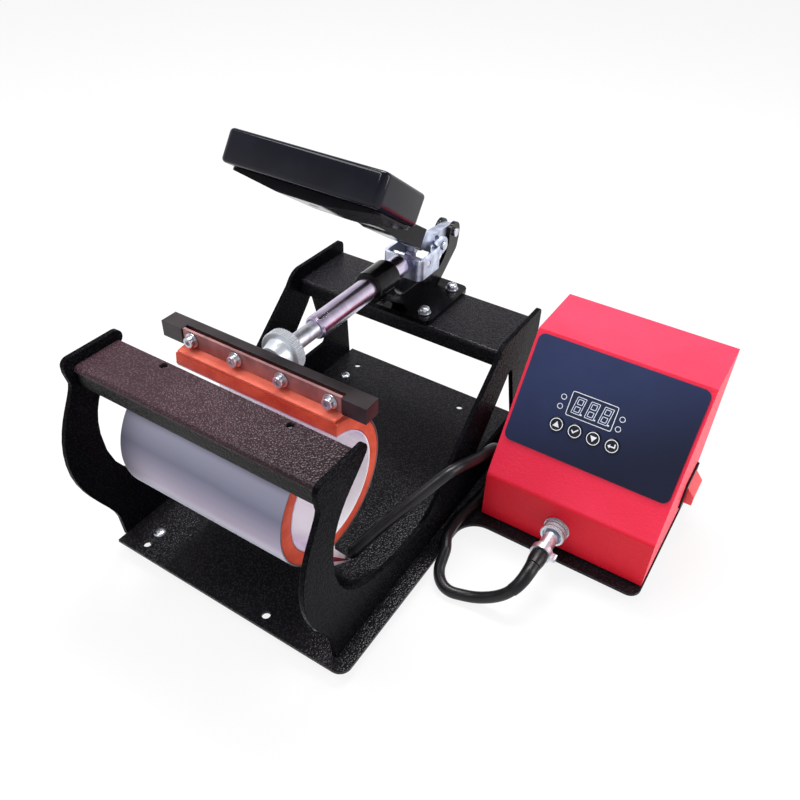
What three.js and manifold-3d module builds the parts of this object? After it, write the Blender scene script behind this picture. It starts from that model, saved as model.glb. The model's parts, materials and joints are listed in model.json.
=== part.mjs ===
// Tumbler heat press: a wrap heater between two side plates, closed by a push-pull toggle, with its control box.
// Millimetres, +Z up, +X along the heater towards the control box, +Y to the rear.
import * as THREE from "three";
import { mergeVertices } from "three/addons/utils/BufferGeometryUtils.js";
import Module from "manifold-3d";

const wasm = await Module();
wasm.setup();

// Shared clearances
const gap = 0.3;
const overrun = 2;
const weld = 1e-4;

// Base plate, whose top is height zero while the part is built
const plateThick = 3;
const plateFrontY = -193.7;
const plateRearY = 139.6;
const plateLedge = 13;
const extensionMargin = 1.15;
const extensionFrontY = -10.9;
const plateCorner = 10;
const insideFillet = 20;
const fixingSpanX = 125;
const fixingLeftX = -82;
const fixingFrontY = -183.4;
const fixingRearY = 117.2;
const fixingHoleRadius = 3.4;

// Side plates
const sideThick = 4;
const frameWidth = 209.5;
const footFrontY = -184;
const footStep = 2;
const footStepZ = 19;
const bulgeY = -215;
const bulgeZ = 98;
const armNeckY = -195.2;
const armNeckZ = 161;
const armEarLip = 2.3;
const armTopZ = 182;
const armEarRearY = -146;
const earCorner = 6;
const cradleY = -183.5;
const cradleZ = 108;
const railTopZ = 32;
const railLowY = -75;
const rampTopY = 40;
const rampTopZ = 126;
const rearEarTopZ = 138;
const rearEarRearY = 126;
const rearFootY = 135;
const windowFrontY = 18;
const windowRearY = 94;
const windowSillZ = 34;
const windowTopY = 72;
const windowTopZ = 101;
const windowCorner = 5;

// Cross channels
const sheet = 3;
const frontBarY = -190.9;
const frontBarDepth = 40.6;
const frontBarTopZ = 174.2;
const frontFlange = 14.8;
const rearBarY = 57.1;
const rearBarDepth = 68.9;
const rearBarTopZ = 125.6;
const rearFlange = 14.5;
const bendRadius = 3.5;
const accessHoleRadius = 2.9;
const accessHoleX = 55.5;
const accessHoleInset = 4.4;

// Heater wrap
const heaterY = -135.2;
const heaterZ = 108.2;
const heaterRadius = 57;
const heaterLength = 145.3;
const sleeveThick = 1;
const matThick = 10;
const linerThick = 1.2;
const wrapRearOpening = 6.7;
const sleeveRearOpening = 26;
const sleeveFrontOpening = 34;
const frontTabDepth = 17;
const frontTabThick = 8;
const frontStripDepth = 18;
const frontStripThick = 2.6;
const frontStripOverhang = 2.8;

// Clamp bar, its strip and screws
const barLength = 181.2;
const barDepth = 14.5;
const barHeight = 13.1;
const barFrontY = -121.2;
const barBottomZ = 167.2;
const barShoulder = 19.6;
const stripThick = 2.2;
const stripSetback = 1;
const tabThick = 2.6;
const tabHeelFrontY = -128.2;
const tabHeelThick = 1.8;
const clampScrewMargin = 8.75;
const clampScrewCount = 4;
const clampHeadRadius = 4.3;
const clampHeadHeight = 4;
const clampWasherRadius = 5.8;
const clampWasherThick = 1;
const clampShankRadius = 2.4;

// Toggle: pivots lie on one height, the plunger's axis
const axisZ = 172.7;
const leverPivotY = 143;
const yokePivotY = 114;
const tailPivotY = 78;
const pinRadius = 2.5;
const pinHeadRadius = 4;
const pinHead = 2;
const linkageClearance = 4.5;
const rodRadius = 9.5;
const rodFrontY = -56.8;
const rodRearY = 60.5;
const rodChamfer = 1.5;
const tailHalfWidth = 3;
const tailHalfHeight = 3.6;
const tailEyeRadius = 5.6;
const spindleRadius = 6.6;
const knobRadius = 17;
const knobFrontY = -97;
const knobThick = 8;
const knobBossFrontRadius = 10;
const knobBossRearRadius = 13;
const knobTeeth = 44;
const toothDepth = 0.5;
const barrelRadius = 13.5;
const barrelFrontY = 14;
const barrelRearY = 44;
const barrelRound = 3;
const barrelChamfer = 1;
const webHalfWidth = 8;
const webTopZ = 150;
const webFrontY = 62;
const webRearY = 112;
const webEdge = 1;
const flangeHalfWidth = 33.7;
const flangeFrontY = 57.5;
const flangeRearY = 131;
const flangeThick = 4;
const flangeCorner = 7;
const toggleBoltX = 22.8;
const toggleBoltFrontY = 69;
const toggleBoltRearY = 118;
const toggleBoltRadius = 2.4;
const toggleHeadRadius = 4.6;
const toggleHeadHeight = 3.4;
const toggleWasherRadius = 5.8;
const toggleWasherThick = 1.2;
const springWasherRadius = 4.9;
const springWasherThick = 1.4;
const nutHeight = 4;
const earInner = 4.7;
const earThick = 3.4;
const earRadius = 9.5;
const earFootFrontY = 100;
const earFootRearY = 117;
const earKneeBack = 5.5;
const earKneeDrop = 18.2;
const earThroatFront = 10;
const earThroatDrop = 15.7;
const earShoulderFront = 25;
const earShoulderDrop = 25.2;
const yokeHalfWidth = 12.6;
const yokeBellyHalf = 19.5;
const yokeThick = 3;
const yokeNose = 13.5;
const yokeNoseCorner = 6;
const yokeNotchHalf = 5;
const yokeNeckY = 104;
const yokeWaist = 9;
const yokeTop = 6.8;
const yokeHeight = 19;
const yokeEyeRadius = 8;

// Lever, seen from the side as places on the plane of its pivots
const tongueHalfWidth = 4.3;
const leverHalfWidth = 8.6;
const leverEyeRadius = 7;
const leverBossRadius = 9.5;
const leverHeelY = 84;
const leverHeelRise = 5.9;
const leverBackY = 106;
const leverBackRise = 11.8;
const leverEdge = 2;
const tangHalfWidth = 8;
const tangThick = 6;
const tangLength = 52;

// Grip and its lower cover
const gripY = -40.6;
const gripZ = 284.7;
const gripTiltDegrees = 34.1;
const gripLength = 127.9;
const gripDepth = 60;
const gripThick = 23.6;
const gripCorner = 5.5;
const gripEdge = 3;
const coverLength = 120;
const coverFrontInset = 9;
const coverRearInset = 1;
const coverThick = 7.4;
const coverTip = 1.6;
const coverFlatHalf = 17;
const coverEdge = 1.4;
const neckHalfWidth = 14;
const neckLength = 116.5;
const neckDepth = 17;
const neckSink = 0.4;
const neckShoulder = 9.5;
const neckWaist = 2.2;
const gripScrewRadius = 3.6;
const gripScrewHeight = 2.2;

// Control box
const boxLeftX = 129.6;
const boxWidth = 142.5;
const boxDepth = 129.8;
const boxHeight = 156.4;
const boxFoldZ = 47.1;
const boxTopFrontY = 67;
const boxWall = 1.5;
const boxLift = 2;
const panWall = 1.6;
const panLip = 12;
const panelMargin = 2.6;
const panelLow = 34.5;
const panelHigh = 125.4;
const panelThick = 1;
const panelCorner = 6;
const displayLeft = 44.1;
const displayWidth = 37;
const displayLow = 70.9;
const displayHeight = 19.4;
const keyFirst = 40.3;
const keyPitch = 15.3;
const keyAlong = 60.8;
const keyRadius = 6.2;
const keyThick = 1.4;
const keyLift = 0.5;
const keyCount = 4;

// Rocker switch on the right wall
const rockerFromRear = 25.8;
const rockerZ = 29;
const rockerLong = 35;
const rockerTall = 29;
const bezelThick = 2;
const bezelRim = 2.6;
const bezelWall = 1.2;
const rockerDepth = 12;
const rockerProud = 9;

// Panel socket and the plug in it, as distances out from the box's front wall
const socketX = 196.6;
const socketZ = 23.1;
const socketRadius = 7.6;
const socketFlangeRadius = 11;
const socketFlangeThick = 1.4;
const socketNutRadius = 10.4;
const socketNutThick = 2.6;
const socketDepth = 12;
const couplingRadius = 10.2;
const couplingLength = 9;
const couplingMouthRadius = 8.4;
const couplingMouthDepth = 4;
const couplingTeeth = 24;
const plugRadius = 6.2;
const collarStart = 28;
const collarRadius = 8.8;
const collarLength = 5.5;
const collarTabReach = 12.4;
const collarTabHalf = 2;
const reliefEnd = 47;
const reliefRadius = 7;
const reliefTipRadius = 6;

// Heater cable and the wrap's tail that it ends in
const cableRadius = 4.7;
const cableSides = 10;
const cableSteps = 78;
const wrapTailWidth = 22;
const wrapTailFrontY = -150;
const wrapTailRearY = -134.6;
const wrapTailHeelZ = 47;
const wrapTailTipY = -113.4;
const wrapTailTipZ = 13.4;
const wrapTailToeZ = 38.8;
const wrapTailLap = 4;
const spoutRadius = 5.6;
const spoutLength = 13;

// Inside the control box and at its rear
const boardThick = 1.6;
const boardInset = 18;
const boardStandoff = 8;
const standoffRadius = 3;
const relayWidth = 20;
const relayDepth = 16;
const relayHeight = 16;
const relayCount = 3;
const inletX = 34;
const inletZ = 30;
const inletRadius = 9;
const inletFlange = 2.6;
const inletBore = 3.6;
const inletThread = 6.4;
const inletOut = 13;

// Feet
const footRadius = 10;
const footHeight = 9;
const footTaper = 1.5;
const footFrontPlaceY = -170;
const footRearPlaceY = 94;
const boxFootFromRight = 24.1;
const boxFootFromRear = 21.8;
const footScrewHead = 5;
const footScrewHeadHeight = 2.4;
const footScrewRadius = 2;
const footScrewDepth = 7;

// Places that follow from the sizes above
const sideInnerX = frameWidth / 2;
const sideOuterX = sideInnerX + sideThick;
const plateRightX = sideOuterX + plateLedge;
const matOuter = heaterRadius - sleeveThick;
const matInner = matOuter - matThick;
const linerOuter = matInner - gap;
const barRearY = barFrontY + barDepth;
const barTopZ = barBottomZ + barHeight;
const barMidZ = barBottomZ + barHeight / 2;
const recessLength = barLength - 2 * barShoulder;
const stripLength = recessLength - 4 * gap;
const clampScrewPitch = (stripLength - 2 * clampScrewMargin) / (clampScrewCount - 1);
const stripFrontY = barFrontY + stripSetback;
const stripRearY = stripFrontY + stripThick;
const tabRearY = stripRearY + tabThick + gap;
const recessY = tabRearY + gap;
const gripTilt = THREE.MathUtils.degToRad(gripTiltDegrees);
const boxRightX = boxLeftX + boxWidth;
const plateEndX = boxRightX + extensionMargin;
const rockerY = boxDepth - rockerFromRear;
const boxFootX = boxRightX - boxFootFromRight;
const boxFootY = boxDepth - boxFootFromRear;
const slopeRise = boxHeight - boxFoldZ;
const slopeAngle = Math.atan2(slopeRise, boxTopFrontY);

// Materials
const paint = (color, roughness, metalness) => new THREE.MeshStandardMaterial({ color, roughness, metalness });
const looks = {
  frame: () => paint(0x17161a, 0.42, 0.1),
  steel: () => paint(0xb4b9c2, 0.3, 0.9),
  silicone: () => paint(0xc9503c, 0.6, 0),
  liner: () => paint(0xafa0b9, 0.55, 0),
  blackBar: () => paint(0x2a2226, 0.4, 0.1),
  chrome: () => paint(0xd8dae2, 0.12, 1),
  zinc: () => paint(0xc3cad8, 0.3, 0.9),
  casting: () => paint(0x0e0e10, 0.22, 0.2),
  grip: () => paint(0x121218, 0.2, 0),
  red: () => paint(0xee3c52, 0.4, 0.05),
  panel: () => paint(0x252c46, 0.25, 0),
  glass: () => paint(0x10131f, 0.15, 0),
  key: () => paint(0x323a58, 0.35, 0),
  rocker: () => paint(0xd92c3c, 0.25, 0),
  black: () => paint(0x101012, 0.4, 0),
  board: () => paint(0x1f6b3c, 0.5, 0),
  rubber: () => paint(0x18181a, 0.8, 0),
};

// Solids: boolean work on closed geometries
function toSolid(geometry) {
  const bare = geometry.clone();
  for (const name of Object.keys(bare.attributes)) {
    if (name !== "position") {
      bare.deleteAttribute(name);
    }
  }
  const merged = mergeVertices(bare, weld);
  const vertProperties = new Float32Array(merged.attributes.position.array);
  const triVerts = new Uint32Array(merged.index.array);
  return new wasm.Manifold(new wasm.Mesh({ numProp: 3, vertProperties, triVerts }));
}

function toGeometry(solid) {
  const { vertProperties, triVerts } = solid.getMesh();
  const geometry = new THREE.BufferGeometry();
  geometry.setAttribute("position", new THREE.Float32BufferAttribute(vertProperties, 3));
  geometry.setIndex([...triVerts]);
  const flat = geometry.toNonIndexed();
  flat.computeVertexNormals();
  return flat;
}

function cut(geometry, ...tools) {
  return toGeometry(tools.reduce((solid, tool) => solid.subtract(toSolid(tool)), toSolid(geometry)));
}

function join(geometry, ...others) {
  return toGeometry(others.reduce((solid, other) => solid.add(toSolid(other)), toSolid(geometry)));
}

function common(geometry, other) {
  return toGeometry(toSolid(geometry).intersect(toSolid(other)));
}

// Basic forms, each placed in the part's own frame
function box(x0, x1, y0, y1, z0, z1) {
  const form = new THREE.BoxGeometry(x1 - x0, y1 - y0, z1 - z0);
  return form.translate((x0 + x1) / 2, (y0 + y1) / 2, (z0 + z1) / 2);
}

const profileFrame = new THREE.Matrix4().makeBasis(
  new THREE.Vector3(0, 1, 0),
  new THREE.Vector3(0, 0, 1),
  new THREE.Vector3(1, 0, 0),
);

// A shape drawn with its x as the part's Y and its y as the part's Z, run along X
function alongX(shape, x0, x1, segments = 10, edge = 0) {
  const options = { depth: x1 - x0 - 2 * edge, curveSegments: segments, bevelEnabled: edge > 0 };
  Object.assign(options, { bevelSize: edge, bevelThickness: edge, bevelOffset: -edge, bevelSegments: 2 });
  const form = new THREE.ExtrudeGeometry(shape, options);
  return form.translate(0, 0, x0 + edge).applyMatrix4(profileFrame);
}

// A shape drawn from above, run along Z
function alongZ(shape, z0, z1, segments = 10) {
  const form = new THREE.ExtrudeGeometry(shape, { depth: z1 - z0, curveSegments: segments, bevelEnabled: false });
  return form.translate(0, 0, z0);
}

function roundedRect(x0, x1, y0, y1, radius) {
  const shape = new THREE.Shape();
  shape.moveTo(x0 + radius, y0);
  shape.lineTo(x1 - radius, y0);
  shape.absarc(x1 - radius, y0 + radius, radius, -Math.PI / 2, 0, false);
  shape.lineTo(x1, y1 - radius);
  shape.absarc(x1 - radius, y1 - radius, radius, 0, Math.PI / 2, false);
  shape.lineTo(x0 + radius, y1);
  shape.absarc(x0 + radius, y1 - radius, radius, Math.PI / 2, Math.PI, false);
  shape.lineTo(x0, y0 + radius);
  shape.absarc(x0 + radius, y0 + radius, radius, Math.PI, Math.PI * 1.5, false);
  return shape;
}

function polygon(points) {
  return new THREE.Shape(points.map(([x, y]) => new THREE.Vector2(x, y)));
}

// A closed outline round a centre, its corners at the radius that is given for each
function around(count, radiusOf) {
  return polygon(Array.from({ length: count }, (_, i) => {
    const angle = (i / count) * Math.PI * 2;
    return [radiusOf(i) * Math.cos(angle), radiusOf(i) * Math.sin(angle)];
  }));
}

const toothed = (radius, teeth) => around(teeth * 2, (i) => radius - (i % 2 ? 0 : toothDepth));

// Turned forms: a profile of [radius, height] pairs about Z, then aimed along an axis
function turned(profile, segments = 24) {
  const points = profile.map(([radius, height]) => new THREE.Vector2(radius, height));
  return new THREE.LatheGeometry(points, segments).rotateX(Math.PI / 2);
}

function rod(radius, z0, z1, segments = 24) {
  return turned([[0, z0], [radius, z0], [radius, z1], [0, z1]], segments);
}

// Aims a form made along +Z along +Y, +X or -Y and moves it to its place
const aimY = (form, x, z) => form.rotateX(-Math.PI / 2).translate(x, 0, z);
const aimX = (form, y, z) => form.rotateY(Math.PI / 2).translate(0, y, z);

const body = new THREE.Group();

function add(name, geometry, material) {
  const mesh = new THREE.Mesh(geometry, material);
  mesh.name = name;
  body.add(mesh);
  return mesh;
}

// Feet and their screws
const footPlaces = [
  [fixingLeftX, footFrontPlaceY],
  [-fixingLeftX, footFrontPlaceY],
  [fixingLeftX, footRearPlaceY],
  [boxFootX, boxFootY],
];

const footBottomZ = -plateThick - footHeight;

function makeFeet() {
  footPlaces.forEach(([x, y], i) => {
    const tip = footRadius - footTaper;
    const rubber = turned([
      [0, footBottomZ],
      [tip, footBottomZ],
      [footRadius, -plateThick],
      [0, -plateThick],
    ], 20);
    const bore = rod(footScrewRadius + gap, -plateThick - footScrewDepth - gap, overrun, 10);
    add(`foot_${i + 1}`, cut(rubber, bore).translate(x, y, 0), looks.rubber());
    const screw = turned([
      [0, -plateThick - footScrewDepth],
      [footScrewRadius, -plateThick - footScrewDepth],
      [footScrewRadius, gap],
      [footScrewHead, gap],
      [footScrewHead * 0.8, gap + footScrewHeadHeight],
      [0, gap + footScrewHeadHeight],
    ], 14);
    add(`foot_screw_${i + 1}`, screw.translate(x, y, 0), looks.zinc());
  });
}

// Base plate: the main rectangle and the extension that carries the control box
function makeBasePlate() {
  const left = -sideInnerX;
  const shape = new THREE.Shape();
  shape.moveTo(left, plateFrontY);
  shape.lineTo(plateRightX - plateCorner, plateFrontY);
  shape.absarc(plateRightX - plateCorner, plateFrontY + plateCorner, plateCorner, -Math.PI / 2, 0, false);
  shape.lineTo(plateRightX, extensionFrontY - insideFillet);
  const filletX = plateRightX + insideFillet;
  const filletY = extensionFrontY - insideFillet;
  shape.absarc(filletX, filletY, insideFillet, Math.PI, Math.PI / 2, true);
  shape.lineTo(plateEndX - plateCorner, extensionFrontY);
  shape.absarc(plateEndX - plateCorner, extensionFrontY + plateCorner, plateCorner, -Math.PI / 2, 0, false);
  shape.lineTo(plateEndX, plateRearY - plateCorner);
  shape.absarc(plateEndX - plateCorner, plateRearY - plateCorner, plateCorner, 0, Math.PI / 2, false);
  shape.lineTo(left, plateRearY);
  const holes = [
    [fixingLeftX, fixingFrontY],
    [fixingLeftX + fixingSpanX, fixingFrontY],
    [fixingLeftX, fixingRearY],
    [fixingLeftX + fixingSpanX, fixingRearY],
  ];
  for (const [x, y] of holes) {
    shape.holes.push(new THREE.Path().absarc(x, y, fixingHoleRadius, 0, Math.PI * 2, false));
  }
  for (const [x, y] of footPlaces) {
    shape.holes.push(new THREE.Path().absarc(x, y, footScrewRadius + gap, 0, Math.PI * 2, false));
  }
  add("base_plate", alongZ(shape, -plateThick, 0, 6), looks.frame());
}

// Side plates: C-shaped front arm, low rail, rear arm with its window
function sideOutline(bottomZ) {
  const shape = new THREE.Shape();
  const armEarFrontY = armNeckY - armEarLip;
  const armEarZ = (armNeckZ + armTopZ) / 2;
  shape.moveTo(footFrontY, bottomZ);
  shape.lineTo(footFrontY - footStep, footStepZ);
  shape.bezierCurveTo(
    footFrontY - footStep - sideThick, footStepZ + (bulgeZ - footStepZ) * 0.25,
    bulgeY, footStepZ + (bulgeZ - footStepZ) * 0.55,
    bulgeY, bulgeZ,
  );
  shape.bezierCurveTo(
    bulgeY, bulgeZ + (armNeckZ - bulgeZ) * 0.55,
    armNeckY - footStep, armNeckZ - (armNeckZ - bulgeZ) * 0.2,
    armNeckY, armNeckZ,
  );
  shape.lineTo(armEarFrontY, armEarZ);
  shape.lineTo(armEarFrontY, armTopZ - earCorner);
  shape.absarc(armEarFrontY + earCorner, armTopZ - earCorner, earCorner, Math.PI, Math.PI / 2, true);
  shape.lineTo(armEarRearY - earCorner, armTopZ);
  shape.absarc(armEarRearY - earCorner, armTopZ - earCorner, earCorner, Math.PI / 2, -Math.PI / 4, true);
  shape.bezierCurveTo(
    armEarRearY - sheet * 5, armNeckZ - earCorner,
    cradleY, cradleZ + (armNeckZ - cradleZ) * 0.7,
    cradleY, cradleZ,
  );
  shape.bezierCurveTo(
    cradleY, cradleZ - (cradleZ - railTopZ) * 0.75,
    railLowY - (railLowY - cradleY) * 0.6, railTopZ,
    railLowY, railTopZ,
  );
  shape.bezierCurveTo(
    railLowY + (rampTopY - railLowY) * 0.2, railTopZ,
    railLowY + (rampTopY - railLowY) * 0.3, railTopZ + (rampTopZ - railTopZ) * 0.2,
    railLowY + (rampTopY - railLowY) * 0.5, railTopZ + (rampTopZ - railTopZ) * 0.46,
  );
  shape.lineTo(rampTopY, rampTopZ);
  shape.quadraticCurveTo(rampTopY + earCorner * 1.3, rearEarTopZ, rampTopY + earCorner * 3, rearEarTopZ);
  shape.lineTo(rearEarRearY - earCorner, rearEarTopZ);
  shape.absarc(rearEarRearY - earCorner, rearEarTopZ - earCorner, earCorner, Math.PI / 2, 0, true);
  shape.lineTo(rearEarRearY, rearBarTopZ - rearFlange);
  shape.lineTo(rearFootY, bottomZ);
  const opening = new THREE.Path();
  opening.moveTo(windowFrontY, windowSillZ);
  opening.lineTo(windowRearY - windowCorner, windowSillZ);
  opening.quadraticCurveTo(windowRearY, windowSillZ, windowRearY, windowSillZ + windowCorner);
  opening.lineTo(windowTopY + windowCorner, windowTopZ - windowCorner);
  opening.quadraticCurveTo(windowTopY + windowCorner / 2, windowTopZ, windowTopY, windowTopZ);
  opening.quadraticCurveTo(
    windowTopY - windowCorner / 2, windowTopZ,
    windowTopY - windowCorner, windowTopZ - windowCorner,
  );
  opening.lineTo(windowFrontY - windowCorner / 2, windowSillZ + windowCorner);
  shape.holes.push(opening);
  return shape;
}

function makeSidePlates() {
  add("side_plate_left", alongX(sideOutline(-plateThick), -sideOuterX, -sideInnerX, 9), looks.frame());
  add("side_plate_right", alongX(sideOutline(0), sideInnerX, sideOuterX, 9), looks.frame());
}

// Cross channels, folded from sheet
function makeCrossbars() {
  const frontRearY = frontBarY + frontBarDepth;
  const front = new THREE.Shape();
  front.moveTo(frontBarY, frontBarTopZ - frontFlange);
  front.lineTo(frontBarY, frontBarTopZ - bendRadius);
  front.absarc(frontBarY + bendRadius, frontBarTopZ - bendRadius, bendRadius, Math.PI, Math.PI / 2, true);
  front.lineTo(frontRearY, frontBarTopZ);
  front.lineTo(frontRearY, frontBarTopZ - sheet);
  front.lineTo(frontBarY + sheet, frontBarTopZ - sheet);
  front.lineTo(frontBarY + sheet, frontBarTopZ - frontFlange);
  const holes = [-accessHoleX, accessHoleX].map((x) =>
    rod(accessHoleRadius, frontBarTopZ - sheet - overrun, frontBarTopZ + overrun, 16)
      .translate(x, frontRearY - accessHoleInset, 0),
  );
  const frontForm = alongX(front, -sideInnerX, sideInnerX, 5);
  add("front_crossbar", cut(frontForm, ...holes), looks.frame());

  const rearY = rearBarY + rearBarDepth;
  const low = rearBarTopZ - rearFlange;
  const rear = new THREE.Shape();
  rear.moveTo(rearBarY, low);
  rear.lineTo(rearBarY, rearBarTopZ - bendRadius);
  rear.absarc(rearBarY + bendRadius, rearBarTopZ - bendRadius, bendRadius, Math.PI, Math.PI / 2, true);
  rear.lineTo(rearY - bendRadius, rearBarTopZ);
  rear.absarc(rearY - bendRadius, rearBarTopZ - bendRadius, bendRadius, Math.PI / 2, 0, true);
  rear.lineTo(rearY, low);
  rear.lineTo(rearY - sheet, low);
  rear.lineTo(rearY - sheet, rearBarTopZ - sheet);
  rear.lineTo(rearBarY + sheet, rearBarTopZ - sheet);
  rear.lineTo(rearBarY + sheet, low);
  const boltHoles = toggleBoltPlaces().map(([x, y]) =>
    rod(toggleBoltRadius + gap, rearBarTopZ - sheet - overrun, rearBarTopZ + overrun, 12).translate(x, y, 0),
  );
  add("rear_crossbar", cut(alongX(rear, -sideInnerX, sideInnerX, 5), ...boltHoles), looks.frame());
}

// Heater wrap: an open ring between two radii, from the front opening round below to the rear one
function wrapShape(inner, outer, frontOffset, rearOffset) {
  const start = Math.PI - Math.acos(frontOffset / outer);
  const end = Math.acos(rearOffset / outer) + Math.PI * 2;
  const shape = new THREE.Shape();
  shape.absarc(heaterY, heaterZ, outer, start, end, false);
  shape.absarc(heaterY, heaterZ, inner, end, start, true);
  return shape;
}

function makeHeater() {
  const half = heaterLength / 2;
  const frontRearY = frontBarY + frontBarDepth;
  const frontOffset = heaterY - frontRearY;
  const frontAngleOffset = frontOffset + gap;
  const ring = alongX(wrapShape(matInner, matOuter - gap, frontAngleOffset, wrapRearOpening), -half, half, 36);
  const tabTopZ = frontBarTopZ - sheet - gap - frontStripThick - gap;
  const tab = box(
    -half, half,
    frontRearY - frontTabDepth, frontRearY + frontStripOverhang - gap,
    tabTopZ - frontTabThick, tabTopZ,
  );
  const screwBores = frontScrewPlaces().map(([x, y]) =>
    rod(footScrewRadius + gap, tabTopZ - frontTabThick + gap, tabTopZ + overrun, 10).translate(x, y, 0),
  );
  add("heater_mat", cut(join(ring, tab), ...screwBores), looks.silicone());
  const sleeve = wrapShape(matOuter, heaterRadius, sleeveFrontOpening, sleeveRearOpening);
  add("heater_sleeve", alongX(sleeve, -half, half, 36), looks.steel());
  const liner = wrapShape(linerOuter - linerThick, linerOuter, frontAngleOffset, wrapRearOpening);
  add("heater_liner", alongX(liner, -half, half, 32), looks.liner());
}

function frontScrewPlaces() {
  const y = frontBarY + frontBarDepth - accessHoleInset;
  return [[-accessHoleX, y], [accessHoleX, y]];
}

function makeFrontStrip() {
  const half = heaterLength / 2;
  const rearY = frontBarY + frontBarDepth + frontStripOverhang;
  const topZ = frontBarTopZ - sheet - gap;
  const lowZ = topZ - frontStripThick;
  const strip = box(-half, half, rearY - frontStripDepth, rearY, lowZ, topZ);
  const bores = frontScrewPlaces().map(([x, y]) =>
    rod(accessHoleRadius, lowZ - overrun, topZ + overrun, 14).translate(x, y, 0),
  );
  add("front_clamp_strip", cut(strip, ...bores), looks.blackBar());
  frontScrewPlaces().forEach(([x, y], i) => {
    const head = accessHoleRadius - gap;
    const screw = turned([
      [0, lowZ - frontTabThick + gap * 3],
      [footScrewRadius, lowZ - frontTabThick + gap * 3],
      [footScrewRadius, lowZ],
      [head, lowZ],
      [head, topZ],
      [0, topZ],
    ], 12);
    add(`front_strip_screw_${i + 1}`, screw.translate(x, y, 0), looks.zinc());
  });
}

// Clamp bar with the heater's rear tab, the strip and four socket screws
function clampScrewXs() {
  return Array.from({ length: clampScrewCount }, (_, i) => (i - (clampScrewCount - 1) / 2) * clampScrewPitch);
}

function makeClampBar() {
  const blank = box(-barLength / 2, barLength / 2, barFrontY, barRearY, barBottomZ, barTopZ);
  const recess = box(
    -recessLength / 2, recessLength / 2,
    barFrontY - overrun, recessY,
    barBottomZ - overrun, barTopZ + overrun,
  );
  const bores = clampScrewXs().map((x) =>
    aimY(rod(clampShankRadius + gap, recessY - overrun, barRearY - overrun, 12), x, barMidZ),
  );
  add("clamp_bar", cut(blank, recess, ...bores), looks.blackBar());

  const stripHalf = stripLength / 2;
  const stripForm = box(-stripHalf, stripHalf, stripFrontY, stripRearY, barBottomZ, barTopZ);
  const stripBores = clampScrewXs().map((x) =>
    aimY(rod(clampShankRadius + gap, stripFrontY - overrun, stripRearY + overrun, 12), x, barMidZ),
  );
  add("clamp_strip", cut(stripForm, ...stripBores), looks.steel());

  const footZ = heaterZ + Math.sqrt((matOuter - gap) ** 2 - wrapRearOpening ** 2) + gap;
  const flap = polygon([
    [tabHeelFrontY, footZ],
    [tabRearY, footZ],
    [tabRearY, barTopZ - gap],
    [stripRearY + gap, barTopZ - gap],
    [stripRearY + gap, barBottomZ - gap],
    [stripFrontY, barBottomZ - gap],
    [tabHeelFrontY, footZ + tabHeelThick],
  ]);
  const flapForm = alongX(flap, -stripHalf, stripHalf);
  const tabBores = clampScrewXs().map((x) =>
    aimY(rod(clampShankRadius + gap, stripRearY - overrun, tabRearY + overrun, 12), x, barMidZ),
  );
  add("heater_rear_tab", cut(flapForm, ...tabBores), looks.silicone());

  const faceY = stripFrontY - gap;
  const tipY = barRearY - overrun - gap;
  clampScrewXs().forEach((x, i) => {
    const screw = turned([
      [0, faceY - clampWasherThick - clampHeadHeight],
      [clampHeadRadius * 0.92, faceY - clampWasherThick - clampHeadHeight],
      [clampHeadRadius, faceY - clampWasherThick - clampHeadHeight * 0.85],
      [clampHeadRadius, faceY - clampWasherThick],
      [clampWasherRadius, faceY - clampWasherThick],
      [clampWasherRadius, faceY],
      [clampShankRadius, faceY],
      [clampShankRadius, tipY],
      [0, tipY],
    ], 18);
    const socket = new THREE.CylinderGeometry(clampHeadRadius * 0.55, clampHeadRadius * 0.55, clampHeadHeight, 6);
    const socketY = faceY - clampWasherThick - clampHeadHeight;
    const form = cut(aimY(screw, 0, 0), socket.translate(0, socketY, 0));
    add(`clamp_screw_${i + 1}`, form.translate(x, 0, barMidZ), looks.zinc());
  });
}

// Plunger, spindle and adjuster
function makePlunger() {
  const chrome = aimY(turned([
    [0, rodFrontY],
    [rodRadius - rodChamfer, rodFrontY],
    [rodRadius, rodFrontY + rodChamfer],
    [rodRadius, rodRearY],
    [0, rodRearY],
  ], 32), 0, axisZ);
  const tail = new THREE.Shape();
  tail.moveTo(rodRearY - overrun, axisZ - tailHalfHeight);
  tail.lineTo(tailPivotY, axisZ - tailHalfHeight);
  tail.lineTo(tailPivotY, axisZ + tailHalfHeight);
  tail.lineTo(rodRearY - overrun, axisZ + tailHalfHeight);
  const eye = aimX(rod(tailEyeRadius, -tailHalfWidth, tailHalfWidth, 20), tailPivotY, axisZ);
  const pinBore = aimX(rod(pinRadius + gap, -yokeHalfWidth, yokeHalfWidth, 16), tailPivotY, axisZ);
  const form = join(chrome, alongX(tail, -tailHalfWidth, tailHalfWidth), eye);
  add("plunger", cut(form, pinBore), looks.chrome());

  const spindle = aimY(rod(spindleRadius, barRearY + gap, rodFrontY - gap, 24), 0, axisZ);
  add("spindle", spindle, looks.zinc());

  const rim = aimY(alongZ(toothed(knobRadius, knobTeeth), knobFrontY, knobFrontY + knobThick, 1), 0, axisZ);
  const knobStart = barRearY + gap;
  const boss = aimY(turned([
    [0, knobStart],
    [knobBossFrontRadius, knobStart],
    [knobBossRearRadius, knobFrontY + overrun],
    [0, knobFrontY + overrun],
  ], 24), 0, axisZ);
  const knobEnd = knobFrontY + knobThick + overrun;
  const bore = aimY(rod(spindleRadius + gap, knobStart - overrun, knobEnd, 24), 0, axisZ);
  add("adjuster_knob", cut(join(rim, boss), bore), looks.zinc());
}

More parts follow.
